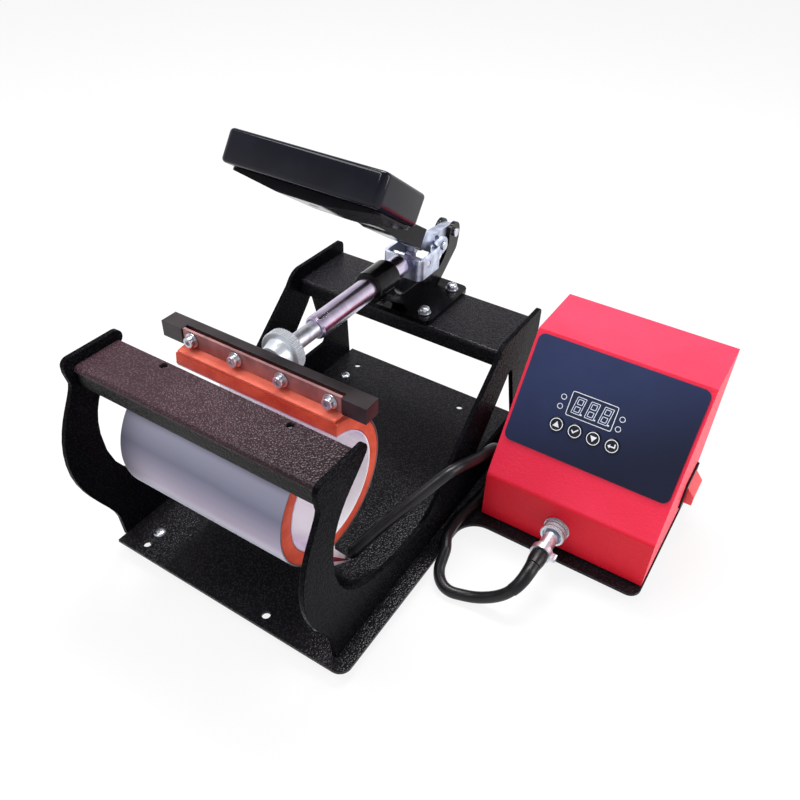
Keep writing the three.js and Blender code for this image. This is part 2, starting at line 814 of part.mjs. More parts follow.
// Toggle casting: flange, web, guide barrel and two ears
function toggleBoltPlaces() {
  const places = [];
  for (const y of [toggleBoltFrontY, toggleBoltRearY]) {
    for (const x of [-toggleBoltX, toggleBoltX]) {
      places.push([x, y]);
    }
  }
  return places;
}

function earShape() {
  const low = rearBarTopZ + flangeThick - gap;
  const kneeZ = axisZ - earKneeDrop;
  const shape = new THREE.Shape();
  shape.moveTo(earFootFrontY, low);
  shape.lineTo(earFootRearY, low);
  shape.lineTo(leverPivotY + earKneeBack, kneeZ);
  shape.quadraticCurveTo(leverPivotY + earRadius, (kneeZ + axisZ) / 2, leverPivotY + earRadius, axisZ);
  shape.absarc(leverPivotY, axisZ, earRadius, 0, Math.PI * 1.08, false);
  shape.quadraticCurveTo(
    leverPivotY - earThroatFront, axisZ - earThroatDrop,
    leverPivotY - earShoulderFront, axisZ - earShoulderDrop,
  );
  shape.lineTo(earFootFrontY, axisZ - earShoulderDrop);
  return shape;
}

function makeToggleBase() {
  const top = rearBarTopZ + flangeThick;
  const flange = alongZ(
    roundedRect(-flangeHalfWidth, flangeHalfWidth, flangeFrontY, flangeRearY, flangeCorner), rearBarTopZ, top, 5,
  );
  const web = new THREE.Shape();
  web.moveTo(flangeFrontY + flangeCorner, top - gap);
  web.lineTo(flangeFrontY + gap, top + (webTopZ - top) * 0.4);
  web.lineTo(barrelFrontY + barrelRound, axisZ - barrelRadius * 0.6);
  web.lineTo(barrelRearY - barrelRound, axisZ - barrelRadius * 0.6);
  web.quadraticCurveTo(barrelRearY + overrun, webTopZ, webFrontY, webTopZ);
  web.lineTo(webRearY - flangeCorner * 2, webTopZ);
  web.quadraticCurveTo(webRearY, webTopZ, webRearY, top - gap);
  const webForm = alongX(web, -webHalfWidth, webHalfWidth, 6, webEdge);
  const barrel = aimY(turned([
    [0, barrelFrontY],
    [barrelRadius - barrelChamfer, barrelFrontY],
    [barrelRadius, barrelFrontY + barrelChamfer],
    [barrelRadius, barrelRearY - barrelRound],
    [barrelRadius - barrelRound * 0.3, barrelRearY - barrelRound * 0.3],
    [barrelRadius - barrelRound, barrelRearY],
    [0, barrelRearY],
  ], 32), 0, axisZ);
  const ears = [
    alongX(earShape(), earInner, earInner + earThick, 10),
    alongX(earShape(), -earInner - earThick, -earInner, 10),
  ];
  const earSlot = box(-earInner, earInner, webRearY - flangeCorner, flangeRearY, webTopZ - flangeCorner, axisZ);
  const bore = aimY(rod(rodRadius + gap, barrelFrontY - overrun, webFrontY, 32), 0, axisZ);
  const pinBore = aimX(rod(pinRadius + gap, -flangeHalfWidth, flangeHalfWidth, 16), leverPivotY, axisZ);
  const bolts = toggleBoltPlaces().map(([x, y]) =>
    rod(toggleBoltRadius + gap, rearBarTopZ - overrun, top + overrun, 12).translate(x, y, 0),
  );
  const casting = join(flange, webForm, barrel, ...ears);
  add("toggle_base", cut(casting, earSlot, bore, pinBore, ...bolts), looks.casting());

  toggleBoltPlaces().forEach(([x, y], i) => {
    const washer = top + gap + toggleWasherThick;
    const spring = washer + springWasherThick;
    const under = rearBarTopZ - sheet - gap;
    const bolt = turned([
      [0, under - nutHeight - overrun],
      [toggleBoltRadius, under - nutHeight - overrun],
      [toggleBoltRadius, under - nutHeight],
      [toggleHeadRadius, under - nutHeight],
      [toggleHeadRadius, under],
      [toggleBoltRadius, under],
      [toggleBoltRadius, top + gap],
      [toggleWasherRadius, top + gap],
      [toggleWasherRadius, washer],
      [springWasherRadius, washer],
      [springWasherRadius, spring],
      [toggleHeadRadius, spring],
      [toggleHeadRadius, spring + toggleHeadHeight * 0.6],
      [toggleHeadRadius * 0.6, spring + toggleHeadHeight],
      [0, spring + toggleHeadHeight],
    ], 16);
    add(`toggle_bolt_${i + 1}`, bolt.translate(x, y, 0), looks.zinc());
  });
}

// Yoke: a U-shaped strap from the plunger's tail pin to the lever, notched at its nose for the tail
function yokePlan(inset, endY) {
  const side = yokeBellyHalf - inset;
  const arm = yokeHalfWidth - inset;
  const corner = yokeNoseCorner - inset / 2;
  const noseY = tailPivotY - yokeNose + inset;
  const bellyEndY = yokeNeckY - yokeWaist;
  const bellyTurn = bellyEndY + yokeWaist / 2;
  const neckTurn = yokeNeckY - yokeWaist / 2;
  const plan = new THREE.Shape();
  plan.moveTo(arm, endY);
  plan.lineTo(arm, yokeNeckY);
  plan.bezierCurveTo(arm, neckTurn, side, bellyTurn, side, bellyEndY);
  plan.lineTo(side, noseY + corner);
  plan.absarc(side - corner, noseY + corner, corner, 0, -Math.PI / 2, true);
  plan.lineTo(-side + corner, noseY);
  plan.absarc(-side + corner, noseY + corner, corner, -Math.PI / 2, -Math.PI, true);
  plan.lineTo(-side, bellyEndY);
  plan.bezierCurveTo(-side, bellyTurn, -arm, neckTurn, -arm, yokeNeckY);
  plan.lineTo(-arm, endY);
  return plan;
}

function makeYoke() {
  const noseY = tailPivotY - yokeNose;
  const endY = yokePivotY + yokeEyeRadius + overrun;
  const bellyEndY = yokeNeckY - yokeWaist;
  const top = axisZ + yokeTop;
  const low = top - yokeHeight;
  const blankTop = axisZ + yokeEyeRadius + overrun;
  const blank = alongZ(yokePlan(0, endY), low - overrun, blankTop, 7);
  const hollow = alongZ(yokePlan(yokeThick, endY + overrun), low - 2 * overrun, blankTop + overrun, 7);
  const strap = cut(blank, hollow);
  const side = new THREE.Shape();
  side.moveTo(noseY - overrun, low);
  side.lineTo(bellyEndY, low);
  side.quadraticCurveTo(
    yokePivotY - yokeEyeRadius, low,
    yokePivotY - yokeEyeRadius * 0.3, axisZ - yokeEyeRadius * 0.95,
  );
  side.absarc(yokePivotY, axisZ, yokeEyeRadius, -Math.PI / 2, Math.PI * 0.62, false);
  side.lineTo(bellyEndY, top);
  side.lineTo(noseY - overrun, top);
  const reach = yokeBellyHalf + overrun;
  const shaped = common(strap, alongX(side, -reach, reach, 8));
  const notch = box(
    -yokeNotchHalf, yokeNotchHalf, noseY - overrun, noseY + yokeThick + overrun,
    axisZ - tailHalfHeight - gap * 3, top + overrun,
  );
  const bores = [tailPivotY, yokePivotY].map((y) => aimX(rod(pinRadius + gap, -reach, reach, 16), y, axisZ));
  add("toggle_yoke", cut(shaped, notch, ...bores), looks.zinc());
}

function makePins() {
  const pinProfile = (half) => [
    [0, -half - gap - pinHead],
    [pinHeadRadius, -half - gap - pinHead],
    [pinHeadRadius, -half - gap],
    [pinRadius, -half - gap],
    [pinRadius, half + gap],
    [pinHeadRadius, half + gap],
    [pinHeadRadius, half + gap + pinHead],
    [0, half + gap + pinHead],
  ];
  const earHalf = earInner + earThick;
  const pin = (half, y) => aimX(turned(pinProfile(half), 16), y, axisZ);
  const flush = yokeBellyHalf - gap;
  add("tail_pin", aimX(rod(pinRadius, -flush, flush, 16), tailPivotY, axisZ), looks.steel());
  add("yoke_pin", pin(yokeHalfWidth, yokePivotY), looks.steel());
  add("lever_pin", pin(earHalf, leverPivotY), looks.steel());
}

// Lever: a wide cast body with a narrow tongue down to the pivots and a tang up into the neck
const neckEnd = gripDepth / 2 + neckLength;
const neckHigh = -neckSink;
const neckLow = neckHigh - neckDepth;
const neckMid = (neckHigh + neckLow) / 2;

function makeLever() {
  const heelZ = axisZ + leverHeelRise;
  const wedge = new THREE.Shape();
  wedge.moveTo(...gripPoint(neckEnd + gap, neckLow));
  wedge.lineTo(leverHeelY, heelZ);
  wedge.lineTo(leverBackY + leverEdge, heelZ);
  wedge.lineTo(leverBackY, axisZ + leverBackRise);
  wedge.lineTo(...gripPoint(neckEnd + gap, neckHigh));
  const wedgeForm = alongX(wedge, -leverHalfWidth, leverHalfWidth, 6, leverEdge);
  const tongue = new THREE.Shape();
  tongue.moveTo(leverHeelY + leverEdge * 2, heelZ + leverEdge);
  tongue.absarc(yokePivotY, axisZ, leverBossRadius, Math.PI * 1.25, Math.PI * 1.6, false);
  tongue.lineTo(leverPivotY, axisZ - leverEyeRadius);
  tongue.absarc(leverPivotY, axisZ, leverEyeRadius, -Math.PI / 2, Math.PI / 2, false);
  tongue.lineTo(yokePivotY + leverEdge, axisZ + leverBossRadius);
  tongue.lineTo(leverBackY - leverEdge * 2, axisZ + leverBackRise);
  const tongueForm = alongX(tongue, -tongueHalfWidth, tongueHalfWidth, 8);
  const tang = gripPlace(box(
    -tangHalfWidth, tangHalfWidth,
    neckEnd - tangLength, neckEnd + leverEdge * 3,
    neckMid - tangThick / 2, neckMid + tangThick / 2,
  ));
  const oversizeRadius = pinRadius + linkageClearance;
  const oversize = aimX(rod(oversizeRadius, -leverHalfWidth, leverHalfWidth, 24), yokePivotY, axisZ);
  const pivot = aimX(rod(pinRadius + gap, -leverHalfWidth, leverHalfWidth, 16), leverPivotY, axisZ);
  add("toggle_lever", cut(join(wedgeForm, tongueForm, tang), oversize, pivot), looks.zinc());
}

// Grip frame: depth runs down to the rear, thickness up
function gripPlace(form) {
  return form.rotateX(-gripTilt).translate(0, gripY, gripZ);
}

function gripPoint(depth, thick) {
  const y = gripY + depth * Math.cos(gripTilt) + thick * Math.sin(gripTilt);
  const z = gripZ - depth * Math.sin(gripTilt) + thick * Math.cos(gripTilt);
  return [y, z];
}

function slab(x0, x1, y0, y1, z0, z1, corner, edge) {
  const form = new THREE.ExtrudeGeometry(roundedRect(x0, x1, y0, y1, corner), {
    depth: z1 - z0 - 2 * edge,
    curveSegments: 6,
    bevelSize: edge,
    bevelThickness: edge,
    bevelOffset: -edge,
    bevelSegments: 4,
  });
  return form.translate(0, 0, z0 + edge);
}

function makeHandle() {
  const halfDepth = gripDepth / 2;
  const halfThick = gripThick / 2;
  const halfLength = gripLength / 2;
  const grip = slab(-halfLength, halfLength, -halfDepth, halfDepth, -halfThick, halfThick, gripCorner, gripEdge);
  add("handle_grip", gripPlace(grip), looks.grip());

  // The cover is a shallow shell under the grip, thin at both ends, and runs on as the neck, hollow for the tang
  const coverTop = -halfThick - gap;
  const coverLow = coverTop - coverThick;
  const coverHalf = coverLength / 2;
  const coverSlab = slab(
    -coverHalf, coverHalf,
    -halfDepth + coverFrontInset, halfDepth - coverRearInset,
    coverLow, coverTop + coverEdge, gripCorner, coverEdge,
  );
  const wings = new THREE.ExtrudeGeometry(polygon([
    [-coverHalf - overrun, coverTop],
    [-coverHalf - overrun, coverTop - coverTip],
    [-coverFlatHalf, coverLow],
    [coverFlatHalf, coverLow],
    [coverHalf + overrun, coverTop - coverTip],
    [coverHalf + overrun, coverTop],
  ]), { depth: gripDepth, bevelEnabled: false }).rotateX(Math.PI / 2).translate(0, halfDepth, 0);
  const coverForm = common(coverSlab, wings);
  const neck = new THREE.Shape();
  neck.moveTo(halfDepth * 0.4, coverTop - coverEdge);
  neck.lineTo(halfDepth * 0.4, coverLow + coverEdge);
  neck.lineTo(halfDepth - coverEdge, coverLow);
  neck.quadraticCurveTo(
    halfDepth + neckLength * 0.35, neckLow + neckWaist * 2,
    halfDepth + neckLength * 0.55, neckLow,
  );
  neck.lineTo(neckEnd, neckLow);
  neck.lineTo(neckEnd, neckHigh);
  neck.lineTo(halfDepth + neckLength * 0.5, neckHigh - neckWaist / 2);
  neck.quadraticCurveTo(halfDepth + neckLength * 0.35, neckHigh + neckWaist, halfDepth + neckShoulder, neckHigh);
  neck.lineTo(halfDepth + gap, coverTop);
  neck.lineTo(halfDepth - coverEdge, coverTop - coverEdge);
  const neckForm = alongX(neck, -neckHalfWidth, neckHalfWidth, 8);
  const pocket = box(
    -tangHalfWidth - gap, tangHalfWidth + gap,
    neckEnd - tangLength - gap, neckEnd + overrun,
    neckMid - tangThick / 2 - gap, neckMid + tangThick / 2 + gap,
  );
  const recess = rod(gripScrewRadius + gap, coverLow - overrun, coverLow + gripScrewHeight + gap, 16);
  add("handle_cover", gripPlace(cut(join(coverForm, neckForm), pocket, recess)), looks.grip());

  const screw = turned([
    [0, coverLow + gap],
    [gripScrewRadius * 0.8, coverLow + gap],
    [gripScrewRadius, coverLow + gripScrewHeight * 0.5],
    [gripScrewRadius, coverLow + gripScrewHeight],
    [0, coverLow + gripScrewHeight],
  ], 16);
  add("handle_screw", gripPlace(screw), looks.zinc());
}

// Control box: folded cover over a pan
function boxProfile(inset, lowZ) {
  const shape = new THREE.Shape();
  const slopeIn = inset * Math.tan(slopeAngle / 2);
  const lipIn = inset * Math.tan((Math.PI / 2 - slopeAngle) / 2);
  shape.moveTo(inset, lowZ);
  shape.lineTo(inset, boxFoldZ - lipIn);
  shape.lineTo(boxTopFrontY + slopeIn, boxHeight - inset);
  shape.lineTo(boxDepth - inset, boxHeight - inset);
  shape.lineTo(boxDepth - inset, lowZ);
  return shape;
}

// Places a form made flat in the slope's own frame: x across, y up the slope, z out of it
function onSlope(form) {
  return form.rotateX(slopeAngle).translate(boxLeftX, 0, boxFoldZ);
}

function makeControlBox() {
  const outer = alongX(boxProfile(0, boxLift), boxLeftX, boxRightX, 1);
  const inner = alongX(boxProfile(boxWall, boxLift - overrun), boxLeftX + boxWall, boxRightX - boxWall, 1);
  const socketBore = aimY(rod(socketRadius + gap, -overrun, boxWall + overrun, 24), socketX, socketZ);
  const rockerBore = box(
    boxRightX - boxWall - overrun, boxRightX + overrun,
    rockerY - rockerLong / 2 + bezelRim - gap, rockerY + rockerLong / 2 - bezelRim + gap,
    rockerZ - rockerTall / 2 + bezelRim - gap, rockerZ + rockerTall / 2 - bezelRim + gap,
  );
  const inletBoreForm = aimY(
    rod(inletThread + gap, boxDepth - boxWall - overrun, boxDepth + overrun, 20), boxLeftX + inletX, inletZ,
  );
  add("control_cover", cut(outer, inner, socketBore, rockerBore, inletBoreForm), looks.red());

  const panX0 = boxLeftX + boxWall + gap;
  const panX1 = boxRightX - boxWall - gap;
  const panY0 = boxWall + gap;
  const panY1 = boxDepth - boxWall - gap;
  const panForm = box(panX0, panX1, panY0, panY1, 0, panLip);
  const panHollow = box(
    panX0 + panWall, panX1 - panWall,
    panY0 + panWall, panY1 - panWall,
    panWall, panLip + overrun,
  );
  const footHole = rod(footScrewHead + gap, -overrun, panWall + overrun, 16).translate(boxFootX, boxFootY, 0);
  add("control_pan", cut(panForm, panHollow, footHole), looks.frame());
}

function makePanel() {
  const sheetForm = alongZ(
    roundedRect(panelMargin, boxWidth - panelMargin, panelLow, panelHigh, panelCorner), 0, panelThick, 5,
  );
  const displayCut = box(
    displayLeft - gap, displayLeft + displayWidth + gap,
    displayLow - gap, displayLow + displayHeight + gap,
    -overrun, panelThick + overrun,
  );
  const keyXs = Array.from({ length: keyCount }, (_, i) => keyFirst + i * keyPitch);
  const keyCuts = keyXs.map((x) =>
    rod(keyRadius + gap, -overrun, panelThick + overrun, 24).translate(x, keyAlong, 0),
  );
  add("panel_overlay", onSlope(cut(sheetForm, displayCut, ...keyCuts)), looks.panel());
  const display = box(
    displayLeft, displayLeft + displayWidth,
    displayLow, displayLow + displayHeight,
    0, panelThick,
  );
  add("display_window", onSlope(display), looks.glass());
  keyXs.forEach((x, i) => {
    const key = turned([
      [0, keyLift],
      [keyRadius, keyLift],
      [keyRadius, keyLift + keyThick * 0.7],
      [keyRadius * 0.85, keyLift + keyThick],
      [0, keyLift + keyThick],
    ], 24);
    add(`key_${i + 1}`, onSlope(key.translate(x, keyAlong, 0)), looks.key());
  });
}

function makeRocker() {
  const y0 = rockerY - rockerLong / 2;
  const y1 = rockerY + rockerLong / 2;
  const z0 = rockerZ - rockerTall / 2;
  const z1 = rockerZ + rockerTall / 2;
  const face = boxRightX;
  const rimForm = alongX(roundedRect(y0, y1, z0, z1, overrun), face, face + bezelThick, 3);
  const well = box(
    face - rockerDepth, face + gap, y0 + bezelRim, y1 - bezelRim, z0 + bezelRim, z1 - bezelRim,
  );
  const wellCut = box(
    face - rockerDepth + bezelThick, face + bezelThick + overrun,
    y0 + bezelRim + bezelWall, y1 - bezelRim - bezelWall,
    z0 + bezelRim + bezelWall, z1 - bezelRim - bezelWall,
  );
  add("rocker_bezel", cut(join(rimForm, well), wellCut), looks.black());

  const tall = rockerTall - 2 * (bezelRim + bezelWall + gap * 5);
  const long = rockerLong - 2 * (bezelRim + bezelWall + gap);
  const rocker = new THREE.Shape();
  rocker.moveTo(-tall / 2, -rockerProud * 0.3);
  rocker.lineTo(tall / 2, -rockerProud * 0.3);
  rocker.lineTo(tall / 2, bezelThick * 0.6);
  rocker.lineTo(0, rockerProud);
  rocker.lineTo(-tall / 2, rockerProud);
  const form = new THREE.ExtrudeGeometry(rocker, { depth: long, bevelEnabled: false }).translate(0, 0, -long / 2);
  const placing = new THREE.Matrix4().makeBasis(
    new THREE.Vector3(0, 0, 1),
    new THREE.Vector3(1, 0, 0),
    new THREE.Vector3(0, 1, 0),
  );
  form.applyMatrix4(placing).translate(face, rockerY, rockerZ);
  add("rocker_button", form, looks.rocker());
}

// Panel socket, coupling ring, plug and strain relief, turned about the line that runs out of the front wall
function outward(profile, segments = 26) {
  return turned(profile, segments).rotateX(Math.PI / 2).translate(socketX, 0, socketZ);
}

function makeConnector() {
  const inside = boxWall + panWall + gap * 2;
  add("panel_socket", outward([
    [0, -inside - socketDepth],
    [socketRadius, -inside - socketDepth],
    [socketRadius, -inside - socketNutThick],
    [socketNutRadius, -inside - socketNutThick],
    [socketNutRadius, -inside],
    [socketRadius, -inside],
    [socketRadius, 0],
    [socketFlangeRadius, 0],
    [socketFlangeRadius, socketFlangeThick],
    [0, socketFlangeThick],
  ]), looks.steel());

  const start = socketFlangeThick + gap;
  const end = start + couplingLength;
  const ring = alongZ(toothed(couplingRadius, couplingTeeth), start, end, 1);
  const bore = rod(plugRadius + gap, start - overrun, end + overrun, 24);
  const mouth = rod(couplingMouthRadius, end - couplingMouthDepth, end + overrun, 24);
  add("plug_ring", cut(ring, bore, mouth).rotateX(Math.PI / 2).translate(socketX, 0, socketZ), looks.chrome());

  const barrel = turned([
    [0, start],
    [plugRadius, start],
    [plugRadius, collarStart],
    [collarRadius, collarStart],
    [collarRadius, collarStart + collarLength],
    [0, collarStart + collarLength],
  ], 26);
  const tab = box(0, collarTabReach, -collarTabHalf, collarTabHalf, collarStart, collarStart + collarLength);
  add("plug_body", join(barrel, tab).rotateX(Math.PI / 2).translate(socketX, 0, socketZ), looks.steel());

  const reliefStart = collarStart + collarLength + gap;
  add("plug_relief", outward([
    [0, reliefStart],
    [reliefRadius, reliefStart],
    [reliefRadius, (reliefStart + reliefEnd) / 2],
    [reliefTipRadius, reliefEnd],
    [0, reliefEnd],
  ], 20), looks.black());
}

// Heater cable: out of the plug, down to the table and past the plate's edge, back between side plate and box,
// up and forward over the side plate's ramp and down to the wrap's tail
const cablePoints = [
  [196.6, -47.4, 23.1],
  [196.5, -54, 22.6],
  [195.6, -60.4, 20.2],
  [193, -66.4, 15.6],
  [188.4, -70.6, 9.8],
  [182, -73.4, 4],
  [174, -75.8, -1],
  [165, -78, -4.8],
  [154.6, -80.2, -6.9],
  [146, -82, -7.2],
  [138.7, -80.6, -6.8],
  [132.6, -76.4, -5],
  [128.6, -70.2, -2],
  [127, -63, 1.6],
  [125.4, -55.6, 4.8],
  [120.8, -46, 6.2],
  [118.8, -35, 6],
  [118.2, -23, 5.6],
  [119.4, -10.6, 5.6],
  [121.6, 1.6, 6.8],
  [123.2, 14, 9.5],
  [124, 25.8, 12.8],
  [124, 34.4, 21.4],
  [123.8, 37.5, 33],
  [123.2, 34.4, 44.6],
  [122.2, 25.6, 53],
  [121, 14, 56.8],
  [119.6, 2, 59.2],
  [117.6, -10.6, 62.8],
  [115, -23.4, 66.2],
  [111.8, -34.2, 66.4],
  [107.8, -42.6, 63],
  [103.4, -50, 58],
  [99.2, -57.4, 53],
  [94.8, -65.4, 48.2],
  [90.4, -73.8, 43.6],
  [86.4, -82.8, 39.2],
  [82.6, -92.6, 35],
  [79.4, -103, 31.2],
  [76.4, -113, 27.4],
];

function makeCable() {
  const places = cablePoints.map((point) => new THREE.Vector3(...point));
  const route = new THREE.CatmullRomCurve3(places, false, "centripetal");
  const section = around(cableSides, () => cableRadius);
  const sheath = new THREE.ExtrudeGeometry(section, { steps: cableSteps, extrudePath: route });
  add("heater_cable", sheath, looks.black());
}

// The wrap's tail hangs under its right end as a flat tongue, with a spout in line with the cable's end
function makeTerminal() {
  const rootZ = heaterZ - heaterRadius + wrapTailLap;
  const tongue = polygon([
    [wrapTailFrontY, rootZ],
    [wrapTailFrontY, wrapTailToeZ],
    [wrapTailTipY, wrapTailTipZ],
    [wrapTailRearY, wrapTailHeelZ],
    [wrapTailRearY, rootZ],
  ]);
  const endX = heaterLength / 2;
  const startX = endX - wrapTailWidth;
  const wrapRoom = new THREE.Shape().absarc(heaterY, heaterZ, heaterRadius + gap * 2, 0, Math.PI * 2, false);
  const [last, before] = [cablePoints.at(-1), cablePoints.at(-2)].map((point) => new THREE.Vector3(...point));
  const inward = last.clone().sub(before).normalize();
  const aim = new THREE.Quaternion().setFromUnitVectors(new THREE.Vector3(0, 0, 1), inward);
  const spout = rod(spoutRadius, gap, spoutLength, 16).applyQuaternion(aim).translate(...last.toArray());
  const roomForm = alongX(wrapRoom, startX - overrun, endX + overrun, 36);
  add("heater_terminal", cut(join(alongX(tongue, startX, endX), spout), roomForm), looks.silicone());
}

// Mains inlet gland in the rear wall, and the board on the pan
function makeInletAndBoard() {
  const wallOut = boxDepth;
  const gland = turned([
    [inletBore, wallOut - boxWall - inletFlange * 2],
    [inletThread, wallOut - boxWall - inletFlange * 2],
    [inletThread, wallOut],
    [inletRadius, wallOut],
    [inletRadius, wallOut + inletFlange],
    [inletRadius * 0.85, wallOut + inletFlange + gap],
    [inletRadius * 0.8, wallOut + inletOut * 0.8],
    [inletRadius * 0.55, wallOut + inletOut],
    [inletBore, wallOut + inletOut],
    [inletBore, wallOut - boxWall - inletFlange * 2],
  ], 20);
  add("power_inlet", aimY(gland, 0, 0).translate(boxLeftX + inletX, 0, inletZ), looks.black());

  const x0 = boxLeftX + boardInset;
  const x1 = boxRightX - boardInset * 2;
  const y0 = boardInset * 1.6;
  const y1 = boxDepth - boardInset * 1.4;
  const z0 = panWall + boardStandoff;
  const board = box(x0, x1, y0, y1, z0, z0 + boardThick);
  const relayPitch = (x1 - x0 - boardInset - relayWidth) / (relayCount - 1);
  const relays = Array.from({ length: relayCount }, (_, i) => {
    const x = x0 + boardInset / 2 + i * relayPitch;
    const y = y1 - relayDepth * 1.5;
    return box(x, x + relayWidth, y, y + relayDepth, z0 + boardThick / 2, z0 + boardThick + relayHeight);
  });
  const posts = [[x0, y0], [x1, y0], [x0, y1], [x1, y1]].map(([x, y]) => {
    const inX = x + Math.sign((x0 + x1) / 2 - x) * standoffRadius * 2;
    const inY = y + Math.sign((y0 + y1) / 2 - y) * standoffRadius * 2;
    return rod(standoffRadius, panWall, z0 + boardThick / 2, 12).translate(inX, inY, 0);
  });
  add("control_board", join(board, ...relays, ...posts), looks.board());
}

makeFeet();
makeBasePlate();
makeSidePlates();
makeCrossbars();
makeHeater();
makeFrontStrip();
makeClampBar();
makePlunger();
makeToggleBase();
makeYoke();
makePins();
makeLever();
makeHandle();
makeControlBox();
makePanel();
makeRocker();
makeConnector();
makeCable();
makeTerminal();
makeInletAndBoard();

// The origin is at the middle of the underside of everything but the cable
const bounds = new THREE.Box3();
for (const mesh of body.children) {
  if (mesh.name !== "heater_cable") {
    bounds.expandByObject(mesh);
  }
}
const centre = bounds.getCenter(new THREE.Vector3());
body.position.set(-centre.x, -centre.y, -bounds.min.z);

const group = new THREE.Group();
group.add(body);
group.updateMatrixWorld(true);

export default group;
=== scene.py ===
import json
import math

import bmesh
import bpy
from mathutils import Matrix, Vector


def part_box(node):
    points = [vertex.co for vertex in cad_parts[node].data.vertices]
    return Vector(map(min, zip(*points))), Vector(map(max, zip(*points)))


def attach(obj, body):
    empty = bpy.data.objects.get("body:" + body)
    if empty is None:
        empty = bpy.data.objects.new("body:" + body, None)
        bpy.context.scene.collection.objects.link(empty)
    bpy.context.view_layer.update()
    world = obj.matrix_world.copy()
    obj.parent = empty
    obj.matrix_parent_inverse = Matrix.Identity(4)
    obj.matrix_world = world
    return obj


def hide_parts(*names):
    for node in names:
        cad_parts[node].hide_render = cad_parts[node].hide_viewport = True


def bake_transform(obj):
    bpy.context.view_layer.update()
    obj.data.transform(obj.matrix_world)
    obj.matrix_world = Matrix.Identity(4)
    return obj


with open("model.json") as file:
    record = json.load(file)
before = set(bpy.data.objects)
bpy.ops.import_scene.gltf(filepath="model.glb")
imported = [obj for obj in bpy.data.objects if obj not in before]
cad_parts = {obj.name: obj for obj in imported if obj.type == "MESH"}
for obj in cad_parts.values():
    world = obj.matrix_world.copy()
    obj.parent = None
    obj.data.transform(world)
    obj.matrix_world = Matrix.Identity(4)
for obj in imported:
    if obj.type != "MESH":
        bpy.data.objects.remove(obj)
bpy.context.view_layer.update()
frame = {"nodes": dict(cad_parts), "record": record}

nodes = frame["nodes"]
record = frame["record"]
bodyOf = {name: body for body, names in record["behaviour"]["bodies"].items() for name in names}
mm = 0.001

# The drawing is in millimetres from the press's middle, the control box's front and the plate's top
plateCorner = Vector((-104.75, -193.7, -3))
partShift = Vector(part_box("base_plate")[0]) / mm - plateCorner


def place(x, y, z):
    return (Vector((x, y, z)) + partShift) * mm


def srgb(red, green, blue):
    def linear(value):
        value /= 255
        return value / 12.92 if value <= 0.04045 else ((value + 0.055) / 1.055) ** 2.4
    return (linear(red), linear(green), linear(blue), 1)


def addObject(name, data):
    made = bpy.data.objects.new(name, data)
    bpy.context.scene.collection.objects.link(made)
    return made


# Camera, where the photograph was taken from

print("camera")

cameraSet = {
    "place": (306.6, -440.7, 498.4),
    "azimuth": 30.89,
    "elevation": 38.74,
    "roll": 2.37,
    "lens": 35.21,
    "sensorWidth": 36,
    "clipStart": 10,
}


def makeCamera():
    azimuth = math.radians(cameraSet["azimuth"])
    elevation = math.radians(cameraSet["elevation"])
    roll = math.radians(cameraSet["roll"])
    back = Vector((
        math.sin(azimuth) * math.cos(elevation),
        -math.cos(azimuth) * math.cos(elevation),
        math.sin(elevation),
    ))
    right = Vector((math.cos(azimuth), math.sin(azimuth), 0))
    up = back.cross(right)
    rolledRight = right * math.cos(roll) + up * math.sin(roll)
    rolledUp = up * math.cos(roll) - right * math.sin(roll)
    data = bpy.data.cameras.new("camera")
    data.lens = cameraSet["lens"]
    data.sensor_width = cameraSet["sensorWidth"]
    data.sensor_fit = "HORIZONTAL"
    data.clip_start = cameraSet["clipStart"] * mm
    camera = addObject("camera", data)
    turn = Matrix((rolledRight, rolledUp, back)).transposed().to_4x4()
    camera.matrix_world = Matrix.Translation(place(*cameraSet["place"])) @ turn
    bpy.context.scene.camera = camera


makeCamera()


# Making pieces

bevelSet = {
    "segments": 2,
    "profile": 0.5,
}


def meshObject(name, bm):
    mesh = bpy.data.meshes.new(name)
    bm.to_mesh(mesh)
    bm.free()
    return addObject(name, mesh)


def finishPiece(name, bm, material, body, smooth, replaces=()):
    # a mesh in metres becomes a piece that moves with its body; smooth is an angle in degrees
    piece = meshObject(name, bm)
    piece.data.materials.append(material)
    piece.data.shade_smooth()
    piece.data.set_sharp_from_angle(angle=math.radians(smooth))
    if body:
        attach(piece, body)
    if replaces:
        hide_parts(*replaces)
    return piece


def sharpEdges(bm, angle):
    return [e for e in bm.edges if e.is_manifold and e.calc_face_angle(0) > math.radians(angle)]


def bevelEdges(bm, edges, offset):
    bmesh.ops.bevel(
        bm, geom=edges, offset=offset * mm, offset_type="OFFSET", segments=bevelSet["segments"],
        profile=bevelSet["profile"], affect="EDGES", clamp_overlap=True, material=-1,
    )


# Heater cable, on the route of its solid

print("cable")

